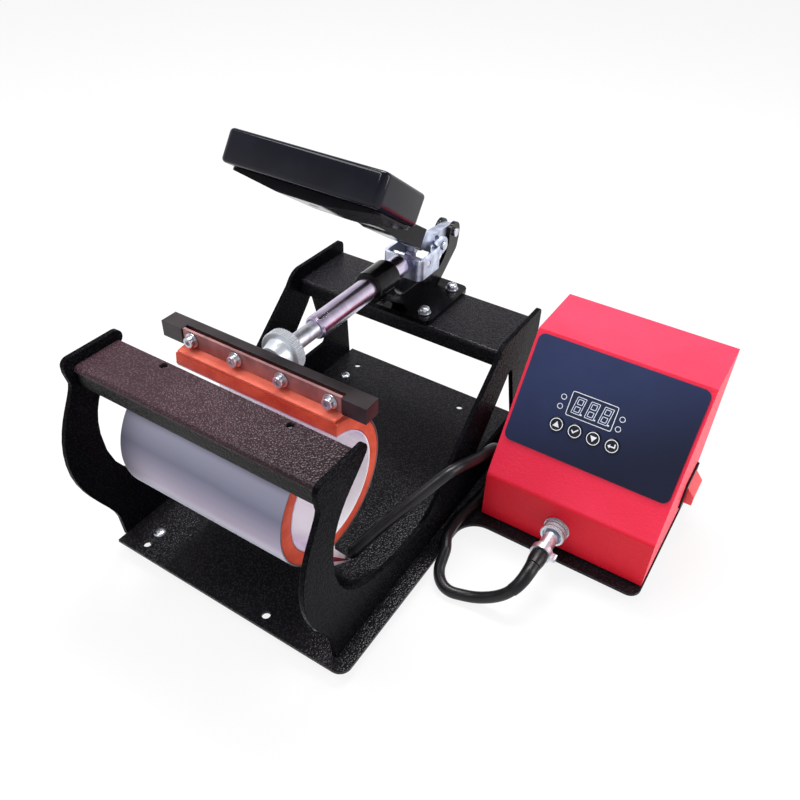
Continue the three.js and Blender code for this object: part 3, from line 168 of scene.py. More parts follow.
cableSet = {
    "radius": 4.7,
    "sides": 20,
    "samplesPerSpan": 6,
    "smooth": 60,
    "reliefLength": 27,
    "reliefRadius": 5.9,
    "reliefTip": 5.1,
    "reliefSides": 28,
    "points": [
        (196.6, -47.4, 23.1), (196.5, -54, 22.6), (195.6, -60.4, 20.2), (193, -66.4, 15.6),
        (188.4, -70.6, 9.8), (182, -73.4, 4), (174, -75.8, -1), (165, -78, -4.8),
        (154.6, -80.2, -6.9), (146, -82, -7.2), (138.7, -80.6, -6.8), (132.6, -76.4, -5),
        (128.6, -70.2, -2), (127, -63, 1.6), (125.4, -55.6, 4.8), (120.8, -46, 6.2),
        (118.8, -35, 6), (118.2, -23, 5.6), (119.4, -10.6, 5.6), (121.6, 1.6, 6.8),
        (123.2, 14, 9.5), (124, 25.8, 12.8), (124, 34.4, 21.4), (123.8, 37.5, 33),
        (123.2, 34.4, 44.6), (122.2, 25.6, 53), (121, 14, 56.8), (119.6, 2, 59.2),
        (117.6, -10.6, 62.8), (115, -23.4, 66.2), (111.8, -34.2, 66.4), (107.8, -42.6, 63),
        (103.4, -50, 58), (99.2, -57.4, 53), (94.8, -65.4, 48.2), (90.4, -73.8, 43.6),
        (86.4, -82.8, 39.2), (82.6, -92.6, 35), (79.4, -103, 31.2), (76.4, -113, 27.4),
    ],
}


def smoothRoute(points, samples):
    # a centripetal curve through the points, as the solid's own route
    points = [Vector(p) for p in points]
    padded = [points[0] * 2 - points[1]] + points + [points[-1] * 2 - points[-2]]
    route = []
    for i in range(len(points) - 1):
        p0, p1, p2, p3 = padded[i:i + 4]
        d0, d1, d2 = [(b - a).length ** 0.5 for a, b in ((p0, p1), (p1, p2), (p2, p3))]
        t1 = ((p1 - p0) / d0 - (p2 - p0) / (d0 + d1) + (p2 - p1) / d1) * d1
        t2 = ((p2 - p1) / d1 - (p3 - p1) / (d1 + d2) + (p3 - p2) / d2) * d1
        for k in range(samples):
            t = k / samples
            route.append(
                p1 * (2 * t ** 3 - 3 * t ** 2 + 1) + t1 * (t ** 3 - 2 * t ** 2 + t)
                + p2 * (3 * t ** 2 - 2 * t ** 3) + t2 * (t ** 3 - t ** 2)
            )
    return route + [points[-1]]


def tubeMesh(route, radii, sides):
    # a ring turned along the route, each ring bridged to the one before it
    bm = bmesh.new()
    aim = (route[1] - route[0]).normalized()
    turn = Vector((0, 0, 1)).rotation_difference(aim)
    last = None
    for i, spot in enumerate(route):
        ahead = route[min(i + 1, len(route) - 1)] - route[max(i - 1, 0)]
        turn = aim.rotation_difference(ahead.normalized()) @ turn
        aim = ahead.normalized()
        ends = i in (0, len(route) - 1)
        matrix = Matrix.Translation(place(*spot)) @ turn.to_matrix().to_4x4()
        ring = bmesh.ops.create_circle(
            bm, cap_ends=ends, segments=sides, radius=radii[i] * mm, matrix=matrix,
        )["verts"]
        edges = {e for v in ring for e in v.link_edges}
        if last:
            bmesh.ops.bridge_loops(bm, edges=list(edges | last))
        last = edges
    bmesh.ops.recalc_face_normals(bm, faces=bm.faces)
    return bm


def routeLength(route):
    return sum((b - a).length for a, b in zip(route, route[1:]))


def makeCable(material, reliefMaterial):
    smooth = cableSet["smooth"]
    route = smoothRoute(cableSet["points"], cableSet["samplesPerSpan"])
    sheath = tubeMesh(route, [cableSet["radius"]] * len(route), cableSet["sides"])
    cable = finishPiece(
        "heater_cable_sheath", sheath, material, "frame", smooth, ["heater_cable"],
    )
    near = [p for i, p in enumerate(route) if routeLength(route[:i + 1]) < cableSet["reliefLength"]]
    narrowing = (cableSet["reliefTip"] - cableSet["reliefRadius"]) / (len(near) - 1)
    taper = [cableSet["reliefRadius"] + narrowing * i for i in range(len(near))]
    sleeve = tubeMesh(near, taper, cableSet["reliefSides"])
    relief = finishPiece("cable_flex_relief", sleeve, reliefMaterial, "frame", smooth)
    routeLength(route) * mm


# Shader maths

print("materials")


class Wire:
    # a socket that takes part in Python expressions
    def __init__(self, shader, socket):
        self.shader = shader
        self.socket = socket

    def maths(self, operation, *others):
        return self.shader.node("Math", {"operation": operation}, *([self] + list(others)))

    def __add__(self, other):
        return self.maths("ADD", other)

    def __radd__(self, other):
        return self.maths("ADD", other)

    def __sub__(self, other):
        return self.maths("SUBTRACT", other)

    def __rsub__(self, other):
        return self.shader.node("Math", {"operation": "SUBTRACT"}, other, self)

    def __mul__(self, other):
        return self.maths("MULTIPLY", other)

    def __truediv__(self, other):
        return self.maths("DIVIDE", other)

    def __pow__(self, other):
        return self.maths("POWER", other)

    def most(self, other):
        return self.maths("MAXIMUM", other)

    def size(self):
        return self.maths("ABSOLUTE")

    def sine(self):
        return self.maths("SINE")

    def turn(self, other):
        # the angle of the point (other, self)
        return self.maths("ARCTAN2", other)

    def step(self, low, high):
        # 0 below low, 1 above high, smooth between
        return self.shader.node(
            "MapRange", {"interpolation_type": "SMOOTHSTEP", "clamp": True},
            Value=self, **{"From Min": low, "From Max": high},
        )

    def other(self, name):
        # another output of the same node
        return Wire(self.shader, self.socket.node.outputs[name])


class Shader:
    def __init__(self, name, owner=None):
        self.owner = owner or bpy.data.materials.new(name)
        self.owner.use_nodes = True
        self.tree = self.owner.node_tree
        self.tree.nodes.clear()

    def node(self, kind, settings=None, *inputs, out=0, **named):
        made = self.tree.nodes.new("ShaderNode" + kind)
        for key, value in (settings or {}).items():
            if key == "stops":
                self.setStops(made.color_ramp, value)
            else:
                setattr(made, key, value)
        for socket, value in list(zip(made.inputs, inputs)) + [(made.inputs[k], v) for k, v in named.items()]:
            self.join(value, socket)
        return Wire(self, made.outputs[out])

    def setStops(self, ramp, stops):
        while len(ramp.elements) < len(stops):
            ramp.elements.new(1)
        for element, (at, colour) in zip(ramp.elements, stops):
            element.position = at
            element.color = colour

    def join(self, value, socket):
        if isinstance(value, Wire):
            self.tree.links.new(value.socket, socket)
        else:
            socket.default_value = value

    def place(self, scale=(1, 1, 1), shift=(0, 0, 0)):
        spot = self.node("TexCoord", out="Object")
        return self.node("Mapping", None, Vector=spot, Scale=scale, Location=shift)

    def axes(self, wanted, centre=(0, 0, 0)):
        # distances in metres from a place on the drawing: X across, Y back, Z up
        parts = self.node("SeparateXYZ", None, self.place(shift=tuple(-place(*centre))))
        return [parts.other(letter) for letter in wanted]

    def noise(self, vector, scale, detail=2):
        return self.node("TexNoise", None, Vector=vector, Scale=scale, Detail=detail, Roughness=0.5)

    def cells(self, vector, scale):
        return self.node(
            "TexVoronoi", {"feature": "SMOOTH_F1"}, Vector=vector, Scale=scale, Smoothness=0.5,
        )

    def mix(self, factor, first, second):
        # the node's colour sockets come after those of its other data types
        made = self.tree.nodes.new("ShaderNodeMix")
        made.data_type = "RGBA"
        self.join(factor, made.inputs["Factor"])
        self.join(first, made.inputs[6])
        self.join(second, made.inputs[7])
        return Wire(self, made.outputs[2])

    def bump(self, height, depth, strength):
        # depth in millimetres
        return self.node("Bump", None, Height=height, Distance=depth * mm, Strength=strength)

    def surface(self, **sockets):
        return self.finish(self.node("BsdfPrincipled", None, **sockets))

    def finish(self, closure, output="OutputMaterial"):
        self.tree.links.new(closure.socket, self.tree.nodes.new("ShaderNode" + output).inputs["Surface"])
        return self.owner


def span(low, high):
    # two distances in millimetres, for step
    return low * mm, high * mm


cloudLevels = (0.3, 0.7)    # where a cloud of noise starts and ends


# Hammered paint

hammerSet = {
    "cellSize": 1.5,               # millimetres between the beads
    "beadHeight": 0.34,
    "beadFade": (0.15, 0.5),       # how far from its middle a bead's colour fades
    "swellScale": 130,
    "swell": 0.3,
    "strength": 0.9,
    # a broad noise for the roughness, which also gathers the painted glints in patches
    "dustAndGlintPatchScale": 26,
    "dustAndGlintPatchLevels": (0.36, 0.66),
    # painted glints: small bright dots, their scale, levels and colour
    "fleckAndGlintScale": 1500,
    "fleckAndGlintLevels": (0.6, 0.7),
    "fleckAndGlint": srgb(196, 172, 180),
    "rough": 0.14,
    "roughSpread": 0.1,
    # painted shade on the front channel: darker to the right, and near black on its face below the top
    "skirtShade": srgb(16, 13, 16),
    "skirtShadeShare": 0.55,
    "skirtShadeSpan": (-30, 110),       # where the front channel turns darker, to the right
    "fold": srgb(6, 5, 6),
    "foldSpan": (-2.5, -1),        # below the channel's top
}


def hammeredPaint(name, ground, bead, bend, glint=0.0, topZ=None):
    # powder coat that dries in fine beads, with painted glints where glint is given; topZ is for the front
    # channel, which gets painted shade by place
    s = Shader(name)
    spot = s.place()
    beads = s.cells(spot, 1000 / hammerSet["cellSize"])
    swell = s.noise(spot, hammerSet["swellScale"])
    dustAndGlintPatch = s.noise(spot, hammerSet["dustAndGlintPatchScale"])
    # painted glints: bright dots where the fine noise peaks, in the broad noise's patches
    fleckAndGlint = s.noise(spot, hammerSet["fleckAndGlintScale"], 1).step(*hammerSet["fleckAndGlintLevels"])
    fleckAndGlint = fleckAndGlint * dustAndGlintPatch.step(*hammerSet["dustAndGlintPatchLevels"])
    colour = s.mix(beads.step(*hammerSet["beadFade"]), bead, ground)
    colour = s.mix(fleckAndGlint * glint, colour, hammerSet["fleckAndGlint"])
    if topZ:
        # painted shade: darker to the right, and near black below the channel's top
        across, up = s.axes("XZ", (0, 0, topZ))
        darker = across.step(*span(*hammerSet["skirtShadeSpan"])) * hammerSet["skirtShadeShare"]
        colour = s.mix(darker, colour, hammerSet["skirtShade"])
        colour = s.mix(up.step(*span(*hammerSet["foldSpan"])), hammerSet["fold"], colour)
    height = 1 - beads + swell * hammerSet["swell"]
    return s.surface(**{
        "Base Color": colour,
        "Roughness": hammerSet["rough"] + dustAndGlintPatch * hammerSet["roughSpread"],
        "IOR": bend,
        "Normal": s.bump(height, hammerSet["beadHeight"], hammerSet["strength"]),
    })


# One black coat in three tones: darker on the side plates and the pan as painted shade, lighter on the base
# plate and rear bar as painted light
hammered = hammeredPaint("hammered_black", srgb(13, 13, 16), srgb(32, 31, 36), bend=1.06)
platePaint = hammeredPaint("plate_black", srgb(24, 23, 26), srgb(46, 44, 49), bend=1.22)
# the front channel's black painted lighter and brownish, a painted warm reflection, with painted glints
barPaint = hammeredPaint(
    "bar_black_painted_reflection", srgb(58, 42, 47), srgb(80, 62, 68), bend=1.2, glint=0.24, topZ=172,
)


# Rolled steel of the outer sleeve

sleeveSet = {
    "centre": (0, -135.2, 108.2),
    "reflectionBands": [       # share of a turn from the rear, over the top; the painted reflection there, with a painted shadow line under the front bar
        (0.34, srgb(150, 150, 160)), (0.37, srgb(50, 50, 60)), (0.4, srgb(160, 160, 180)),
        (0.45, srgb(120, 120, 140)), (0.52, srgb(170, 160, 180)), (0.58, srgb(240, 240, 255)),
        (0.66, srgb(110, 110, 120)), (1.0, srgb(150, 150, 160)),
    ],
    "drift": 0.02,                 # how far the bands wander, in turns
    "driftScale": 1.4,
    "driftAlong": 9,
    "driftAround": 6,
    "lineScale": (8, 1000, 1000),
    "lineDepth": 0.06,
    "strength": 0.35,
    "rough": 0.36,
    "roughSpread": 0.14,
}


def rolledSteel():
    # fine lines along the axis, and broad soft bands of painted reflection round it, with a painted shadow
    # line
    s = Shader("rolled_steel")
    across, back, up = s.axes("XYZ", sleeveSet["centre"])
    share = (0 - up).turn(0 - back) / (2 * math.pi) + 0.5
    along, around = across * sleeveSet["driftAlong"], share * sleeveSet["driftAround"]
    drift = s.noise(s.node("CombineXYZ", None, along, around, 0.0), sleeveSet["driftScale"]) - 0.5
    lines = s.noise(s.place(sleeveSet["lineScale"]), 1, 3)
    return s.surface(**{
        "Base Color": s.node("ValToRGB", {"stops": sleeveSet["reflectionBands"]}, share + drift * sleeveSet["drift"]),
        "Metallic": 1.0,
        "Roughness": sleeveSet["rough"] + lines * sleeveSet["roughSpread"],
        "Normal": s.bump(lines, sleeveSet["lineDepth"], sleeveSet["strength"]),
    })


# Plated metals

def brightMetal(name, light, dark, rough, spread=0.14, cloudScale=120, pits=0.08, pitScale=1400, metal=1.0):
    s = Shader(name)
    spot = s.place()
    cloud = s.noise(spot, cloudScale, 3)
    return s.surface(**{
        "Base Color": s.mix(cloud.step(*cloudLevels), dark, light),
        "Metallic": metal,
        "Roughness": rough + cloud * spread,
        "Normal": s.bump(s.noise(spot, pitScale), pits, 0.5),
    })


zinc = brightMetal("bright_zinc", srgb(226, 228, 234), srgb(190, 194, 204), rough=0.24)
stripSteel = brightMetal(
    "bright_strip", srgb(176, 128, 128), srgb(142, 98, 100), rough=0.34, spread=0.12, cloudScale=50,
    metal=0.3,
)
castZinc = brightMetal(
    "cast_zinc", srgb(226, 232, 248), srgb(164, 172, 196), rough=0.32, spread=0.16, cloudScale=90, pits=0.2,
    pitScale=700,
)
chrome = brightMetal(
    "polished_chrome", srgb(226, 216, 238), srgb(200, 188, 214), rough=0.2, spread=0.06, cloudScale=60,
    pits=0.02,
)
satinZinc = brightMetal(
    "satin_zinc", srgb(226, 228, 236), srgb(192, 196, 208), rough=0.36, spread=0.1, cloudScale=200,
)

yokeSet = {
    "halfWidth": 16.9,             # inside the belly
    "hollowStart": 67.8,
    "hollowEnd": 101,
    "wallFade": 0.3,
    "startFade": 0.2,
    "endFade": 4,
    "zinc": srgb(226, 232, 248),
    "cloud": srgb(172, 180, 204),
    "inside": srgb(84, 88, 108),
    "cloudScale": 90,
    "rough": 0.32,
    "roughSpread": 0.16,
    "grainScale": 700,
    "grainDepth": 0.2,
}


def yokeZinc():
    # bright outside, with painted shade inside the belly
    s = Shader("yoke_zinc")
    across, back = s.axes("XY")
    half, start, end = yokeSet["halfWidth"], yokeSet["hollowStart"], yokeSet["hollowEnd"]
    # painted shade: the hollow inside the belly
    shadeMask = 1 - across.size().step(*span(half - yokeSet["wallFade"], half))
    shadeMask = shadeMask * back.step(*span(start, start + yokeSet["startFade"]))
    shadeMask = shadeMask * (1 - back.step(*span(end - yokeSet["endFade"], end)))
    cloud = s.noise(s.place(), yokeSet["cloudScale"], 3)
    outside = s.mix(cloud.step(*cloudLevels), yokeSet["cloud"], yokeSet["zinc"])
    return s.surface(**{
        "Base Color": s.mix(shadeMask, outside, yokeSet["inside"]),
        "Metallic": 1.0,
        "Roughness": yokeSet["rough"] + cloud * yokeSet["roughSpread"],
        "Normal": s.bump(s.noise(s.place(), yokeSet["grainScale"]), yokeSet["grainDepth"], 0.5),
    })


# Knurled pieces

knobSet = {
    "centre": (0, -93, 172.7),
    "rimFrom": 15.9,
    "lines": 46,
    "pitch": 1.5,
    "metal": 0.72,
    "valleyShade": srgb(120, 124, 136),
}
couplingSet = {
    "centre": (196.6, -5, 23.1),
    "rimFrom": 9.2,
    "lines": 26,
    "pitch": 1.3,
    "groovePitch": 3.9,
    "metal": 0.95,
    "valleyShade": srgb(52, 50, 56),
}
knurlSet = {
    "rimFade": 0.3,
    "grooveLevels": (0.55, 0.85),
    "valleyShadeLevels": (0.1, 0.7),
    "valleyShadeShare": 0.75,
    "plating": (srgb(222, 228, 238), srgb(246, 250, 254)),
    "cloudScale": 160,
    "ringScale": 2400,
    "ringHeight": 0.1,
    "rough": 0.34,
    "roughSpread": 0.16,
    "depth": 0.3,
    "strength": 0.9,
}


def waves(distance, pitch):
    # an angle that turns once for each pitch in millimetres
    return distance * (2 * math.pi / (pitch * mm))


def knurledZinc(name, piece):
    # crossed knurling on the rim only, with painted shade in its valleys and grooves; satin plating elsewhere
    s = Shader(name)
    across, back, up = s.axes("XYZ", piece["centre"])
    radius = (across * across + up * up) ** 0.5
    rim = radius.step(*span(piece["rimFrom"] - knurlSet["rimFade"], piece["rimFrom"]))
    angle = up.turn(across) * piece["lines"]
    along = waves(back, piece["pitch"])
    knurl = (angle + along).sine() * (angle - along).sine()
    if "groovePitch" in piece:
        groove = waves(back, piece["groovePitch"]).sine().step(*knurlSet["grooveLevels"])
        knurl = knurl * (1 - groove) + groove
    # painted shade in the valleys
    valleyShades = (knurl * rim).step(*knurlSet["valleyShadeLevels"]) * knurlSet["valleyShadeShare"]
    plating = s.mix(s.noise(s.place(), knurlSet["cloudScale"], 3), *knurlSet["plating"])
    rings = s.noise(s.node("CombineXYZ", None, radius * knurlSet["ringScale"], 0.0, 0.0), 1)
    height = rings * knurlSet["ringHeight"] - knurl * rim
    return s.surface(**{
        "Base Color": s.mix(valleyShades, plating, piece["valleyShade"]),
        "Metallic": piece["metal"],
        "Roughness": knurlSet["rough"] + rings * knurlSet["roughSpread"],
        "Normal": s.bump(height, knurlSet["depth"], knurlSet["strength"]),
    })


# Silicone and liner

siliconeSet = {
    "cloudScale": 60,
    "grainScale": 1100,
    "fleckAndGlintLevels": (0.6, 0.75),
    "fleckShare": 0.35,
    "fleckAndGlint": srgb(246, 150, 124),
    "rough": 0.5,
    "roughSpread": 0.2,
    "shine": 0.35,
    "depth": 0.35,
    "strength": 0.6,
}


def mouldedSilicone(name, light, dark):
    s = Shader(name)
    spot = s.place()
    cloud = s.noise(spot, siliconeSet["cloudScale"], 3)
    grain = s.noise(spot, siliconeSet["grainScale"])
    fleckAndGlint = grain.step(*siliconeSet["fleckAndGlintLevels"]) * siliconeSet["fleckShare"]
    return s.surface(**{
        "Base Color": s.mix(fleckAndGlint, s.mix(cloud.step(*cloudLevels), dark, light), siliconeSet["fleckAndGlint"]),
        "Roughness": siliconeSet["rough"] + grain * siliconeSet["roughSpread"],
        "Specular IOR Level": siliconeSet["shine"],
        "Normal": s.bump(grain + cloud, siliconeSet["depth"], siliconeSet["strength"]),
    })


silicone = mouldedSilicone("moulded_silicone", srgb(224, 92, 66), srgb(196, 66, 44))
tabSilicone = mouldedSilicone("tab_silicone", srgb(246, 122, 100), srgb(226, 100, 80))

linerSet = {
    "light": srgb(228, 214, 238),
    "dark": srgb(200, 182, 210),
    "paintedLight": srgb(255, 252, 255),
    "paintedLightSpan": (16, 50),
    "paintedLightDrift": 20,
    "cloudScale": 34,
    "weaveScale": 1500,
    "weaveStretch": (1, 0.4, 0.4),
    "weaveDepth": 0.15,
    "strength": 0.3,
    "rough": 0.34,
    "roughSpread": 0.2,
}


def coatedLiner():
    # lavender, with painted light making it paler low down at the rear
    s = Shader("coated_liner")
    cloud = s.noise(s.place(), linerSet["cloudScale"], 3)
    weave = s.noise(s.place(linerSet["weaveStretch"]), linerSet["weaveScale"], 1)
    back, up = s.axes("YZ", sleeveSet["centre"])
    # painted light: paler low down at the rear
    paintedLight = (back - up + cloud * (linerSet["paintedLightDrift"] * mm)).step(*span(*linerSet["paintedLightSpan"]))
    lavenderTone = s.mix(cloud.step(*cloudLevels), linerSet["dark"], linerSet["light"])
    return s.surface(**{
        "Base Color": s.mix(paintedLight, lavenderTone, linerSet["paintedLight"]),
        "Roughness": linerSet["rough"] + cloud * linerSet["roughSpread"],
        "Normal": s.bump(weave, linerSet["weaveDepth"], linerSet["strength"]),
    })


# Smooth blacks: gloss enamel, moulded plastic or satin paint, by their numbers

blackSet = {
    "hazeScale": 46,
    "hazeLevels": (0.35, 0.7),
    "roughSpread": 0.12,
    "strength": 0.4,
}


def blackSkin(name, ground, light, rough, bend, skinScale, depth):
    s = Shader(name)
    spot = s.place()
    skin = s.noise(spot, skinScale, 3)
    haze = s.noise(spot, blackSet["hazeScale"]).step(*blackSet["hazeLevels"])
    return s.surface(**{
        "Base Color": s.mix(haze, srgb(*ground), srgb(*light)),
        "Roughness": rough + skin * blackSet["roughSpread"],
        "IOR": bend,
        "Normal": s.bump(skin, depth, blackSet["strength"]),
    })


satinBar = blackSkin(
    "satin_black_bar", (26, 20, 23), (44, 36, 40), rough=0.3, bend=1.42, skinScale=900, depth=0.3,
)
casting = blackSkin(
    "gloss_black_casting", (7, 6, 8), (15, 13, 16), rough=0.12, bend=1.3, skinScale=150, depth=0.6,
)
# the grip's black lifted and tinted blue as a painted sheen
gripBlack = blackSkin(
    "gloss_black_grip", (19, 20, 29), (25, 26, 36), rough=0.05, bend=1.3, skinScale=90, depth=0.2,
)
coverBlack = blackSkin(
    "cover_black", (13, 13, 17), (20, 20, 26), rough=0.08, bend=1.16, skinScale=90, depth=0.3,
)
satinBlack = blackSkin(
    "satin_black_plastic", (15, 15, 17), (24, 24, 27), rough=0.3, bend=1.36, skinScale=400, depth=0.2,
)
sheathBlack = blackSkin(
    "cable_sheath_black", (17, 17, 19), (28, 28, 32), rough=0.3, bend=1.4, skinScale=260, depth=0.2,
)
rubberBlack = blackSkin(
    "matt_rubber", (24, 24, 26), (34, 34, 36), rough=0.6, bend=1.3, skinScale=500, depth=0.3,
)


# Control box and its panel

boxSet = {
    "red": srgb(245, 54, 84),
    "cloud": srgb(240, 46, 76),
    "front": srgb(216, 22, 44),
    "frontShadeFade": (0.2, 2),         # behind the front wall
    "cloudScale": 16,
    "peelScale": 620,
    "peelDepth": 0.6,
    "strength": 0.6,
    "rough": 0.36,
    "roughSpread": 0.16,
    "shine": 0.22,
}


def boxRed():
    # powder coat, with painted shade: a deeper red on the front wall
    s = Shader("red_powder_coat")
    spot = s.place()
    peel = s.noise(spot, boxSet["peelScale"])
    cloud = s.noise(spot, boxSet["cloudScale"]).step(*cloudLevels)
    [back] = s.axes("Y")
    general = s.mix(cloud, boxSet["cloud"], boxSet["red"])
    return s.surface(**{
        "Base Color": s.mix(back.step(*span(*boxSet["frontShadeFade"])), boxSet["front"], general),
        "Roughness": boxSet["rough"] + peel * boxSet["roughSpread"],
        "Specular IOR Level": boxSet["shine"],
        "Normal": s.bump(peel, boxSet["peelDepth"], boxSet["strength"]),
    })


filmSet = {
    "middle": (190, 30, 100),
    "deep": srgb(22, 27, 50),
    "pale": (srgb(42, 52, 88), srgb(48, 59, 97)),
    "paleUp": 1.2,
    "paleAcross": 0.6,
    "paleSpan": (-50, 60),
    "grainScale": 60,
    "grainDepth": 0.03,
    "strength": 0.4,
    "rough": 0.42,
    "roughSpread": 0.1,
    "shine": 0.2,
}


def panelFilm():
    # printed film, a little paler towards its top left
    s = Shader("panel_film")
    across, up = s.axes("XZ", filmSet["middle"])
    pale = (up * filmSet["paleUp"] - across * filmSet["paleAcross"]).step(*span(*filmSet["paleSpan"]))
    grain = s.noise(s.place(), filmSet["grainScale"])
    return s.surface(**{
        "Base Color": s.mix(pale, filmSet["deep"], s.mix(grain, *filmSet["pale"])),
        "Roughness": filmSet["rough"] + grain * filmSet["roughSpread"],
        "Specular IOR Level": filmSet["shine"],
        "Normal": s.bump(grain, filmSet["grainDepth"], filmSet["strength"]),
    })


plainSet = {
    "lighter": 1.35,
    "lift": 0.003,
    "grainShare": 0.6,
    "roughSpread": 0.1,
    "strength": 0.4,
}


def plain(name, colour, rough, shine=0.5, grainScale=600, depth=0.2, coat=0.0, glow=0.0):
    s = Shader(name)
    grain = s.noise(s.place(), grainScale)
    lighter = tuple(min(1, c * plainSet["lighter"] + plainSet["lift"]) for c in colour[:3]) + (1,)
    return s.surface(**{
        "Base Color": s.mix(grain * plainSet["grainShare"], colour, lighter),
        "Roughness": rough + grain * plainSet["roughSpread"],
        "Specular IOR Level": shine,
        "Coat Weight": coat,
        "Emission Color": colour,
        "Emission Strength": glow,
        "Normal": s.bump(grain, depth, plainSet["strength"]),
    })


displayDark = plain("display_glass", srgb(28, 34, 60), rough=0.36, shine=0.3, grainScale=60, depth=0.03)
keyNavy = plain("key_film", srgb(15, 18, 30), rough=0.24, shine=0.3, grainScale=60, depth=0.05)
printWhite = plain("printed_white", srgb(226, 232, 244), rough=0.5, shine=0.3)
digitWhite = plain("digit_white", srgb(206, 216, 240), rough=0.4, shine=0.3, glow=0.12)
rockerRed = plain("rocker_red", srgb(224, 34, 48), rough=0.12, grainScale=80, depth=0.1, coat=0.5, glow=0.1)
boardGreen = plain("board_green", srgb(28, 96, 54), rough=0.4)

makeCable(sheathBlack, satinBlack)


# Solids with their sharp edges eased

print("eased solids")

easeSet = {
    "weld": 0.01,
    "flatAngle": 0.6,
    "sharpAngle": 28,
    "faceWeight": 100,
    "tabBelowTop": 4,
    "tabSmooth": 30,
}


def easedMesh(name, edge):
    # a copy of a solid: its loose triangles are joined, and its sharp edges bevelled
    bm = bmesh.new()
    bm.from_mesh(nodes[name].data)
    bmesh.ops.remove_doubles(bm, verts=bm.verts, dist=easeSet["weld"] * mm)
    bmesh.ops.dissolve_limit(
        bm, angle_limit=math.radians(easeSet["flatAngle"]), verts=bm.verts, edges=bm.edges,
        use_dissolve_boundaries=False,
    )
    if edge:
        bevelEdges(bm, sharpEdges(bm, easeSet["sharpAngle"]), edge)
    return bm


def ease(material, names, edge=0, smooth=38):
    for name in names:
        bm = easedMesh(name, edge)
        piece = finishPiece(name + "_finished", bm, material, bodyOf[name], smooth, [name])
        if edge:
            flat = piece.modifiers.new("flat_faces", "WEIGHTED_NORMAL")
            flat.keep_sharp = True
            flat.weight = easeSet["faceWeight"]


def makeRearTab():
    # the silicone ends a little below the strip's top edge
    name = "heater_rear_tab"
    bm = easedMesh(name, 0)
    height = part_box(name)[1][2] - easeSet["tabBelowTop"] * mm
    cut = bmesh.ops.bisect_plane(
        bm, geom=list(bm.verts) + list(bm.edges) + list(bm.faces), plane_co=(0, 0, height),
        plane_no=(0, 0, 1), clear_outer=True, clear_inner=False,
    )
    rim = [e for e in cut["geom_cut"] if isinstance(e, bmesh.types.BMEdge)]
    bmesh.ops.triangle_fill(bm, edges=rim, use_beauty=True)
    finishPiece(
        "rear_tab_finished", bm, tabSilicone, "plunger_unit", easeSet["tabSmooth"], [name],
    )


def four(name):
    return [f"{name}_{i}" for i in range(1, 5)]


makeRearTab()
ease(platePaint, ["base_plate", "rear_crossbar"], edge=0.6)
ease(hammered, ["side_plate_left", "side_plate_right"], edge=0.6)
ease(barPaint, ["front_crossbar"], edge=0.5)
ease(satinBar, ["clamp_bar", "front_clamp_strip"], edge=0.4)
ease(hammered, ["control_pan"], edge=0.3)
ease(stripSteel, ["clamp_strip"], smooth=30)
ease(casting, ["toggle_base"], edge=0.5)
ease(yokeZinc(), ["toggle_yoke"], edge=0.5)
ease(castZinc, ["toggle_lever"], edge=0.5)
ease(chrome, ["plunger"], smooth=30)
ease(satinZinc, ["spindle", "plug_body"], smooth=24)
ease(knurledZinc("knurled_zinc", knobSet), ["adjuster_knob"], edge=0.25, smooth=24)
ease(knurledZinc("knurled_coupling", couplingSet), ["plug_ring"], smooth=24)
ease(gripBlack, ["handle_grip"], smooth=50)
ease(coverBlack, ["handle_cover"], edge=0.3, smooth=44)
ease(boxRed(), ["control_cover"], edge=0.9)
ease(panelFilm(), ["panel_overlay"], edge=0.25)
ease(displayDark, ["display_window"], edge=0.2)
ease(rockerRed, ["rocker_button"], edge=0.5)
ease(satinBlack, ["rocker_bezel", "plug_relief", "power_inlet"], edge=0.5)
ease(zinc, ["tail_pin", "yoke_pin", "lever_pin", "handle_screw"], edge=0.15)
ease(satinZinc, ["panel_socket"], edge=0.2, smooth=24)
ease(zinc, ["front_strip_screw_1", "front_strip_screw_2", *four("clamp_screw")], edge=0.15)
ease(keyNavy, four("key"))
ease(rubberBlack, four("foot"), edge=0.5)
ease(boardGreen, ["control_board"])


# Heater wrap, between the frame and the moving bar

print("heater wrap")

wrapSet = {
    "centre": (-135.2, 108.2),     # the bore's axis, in Y and Z
    "halfLength": 72.65,
    "frontBarRear": -150.3,
    "frontGap": 0.3,
    "rearOpening": 6.7,
    "matInner": 46,
    "matOuter": 55.7,
    "matEdge": 0.9,
    "sleeveInner": 56,
    "sleeveOuter": 57,
    "sleeveFront": 34,
    "sleeveRear": 26,
    "sleeveEdge": 0.2,
    "linerInner": 44.5,
    "linerOuter": 45.7,
    "linerEdge": 0.25,
    "steps": 110,
    "rimAngle": 60,
    "smooth": 40,
    "tabY": (-167.3, -147.8),
    "tabZ": (160.3, 168.0),
    "tabEdge": 0.5,
    "holdFrom": (0, -150.3, 165),
    "holdTo": (0, -128.9, 167.9),
}


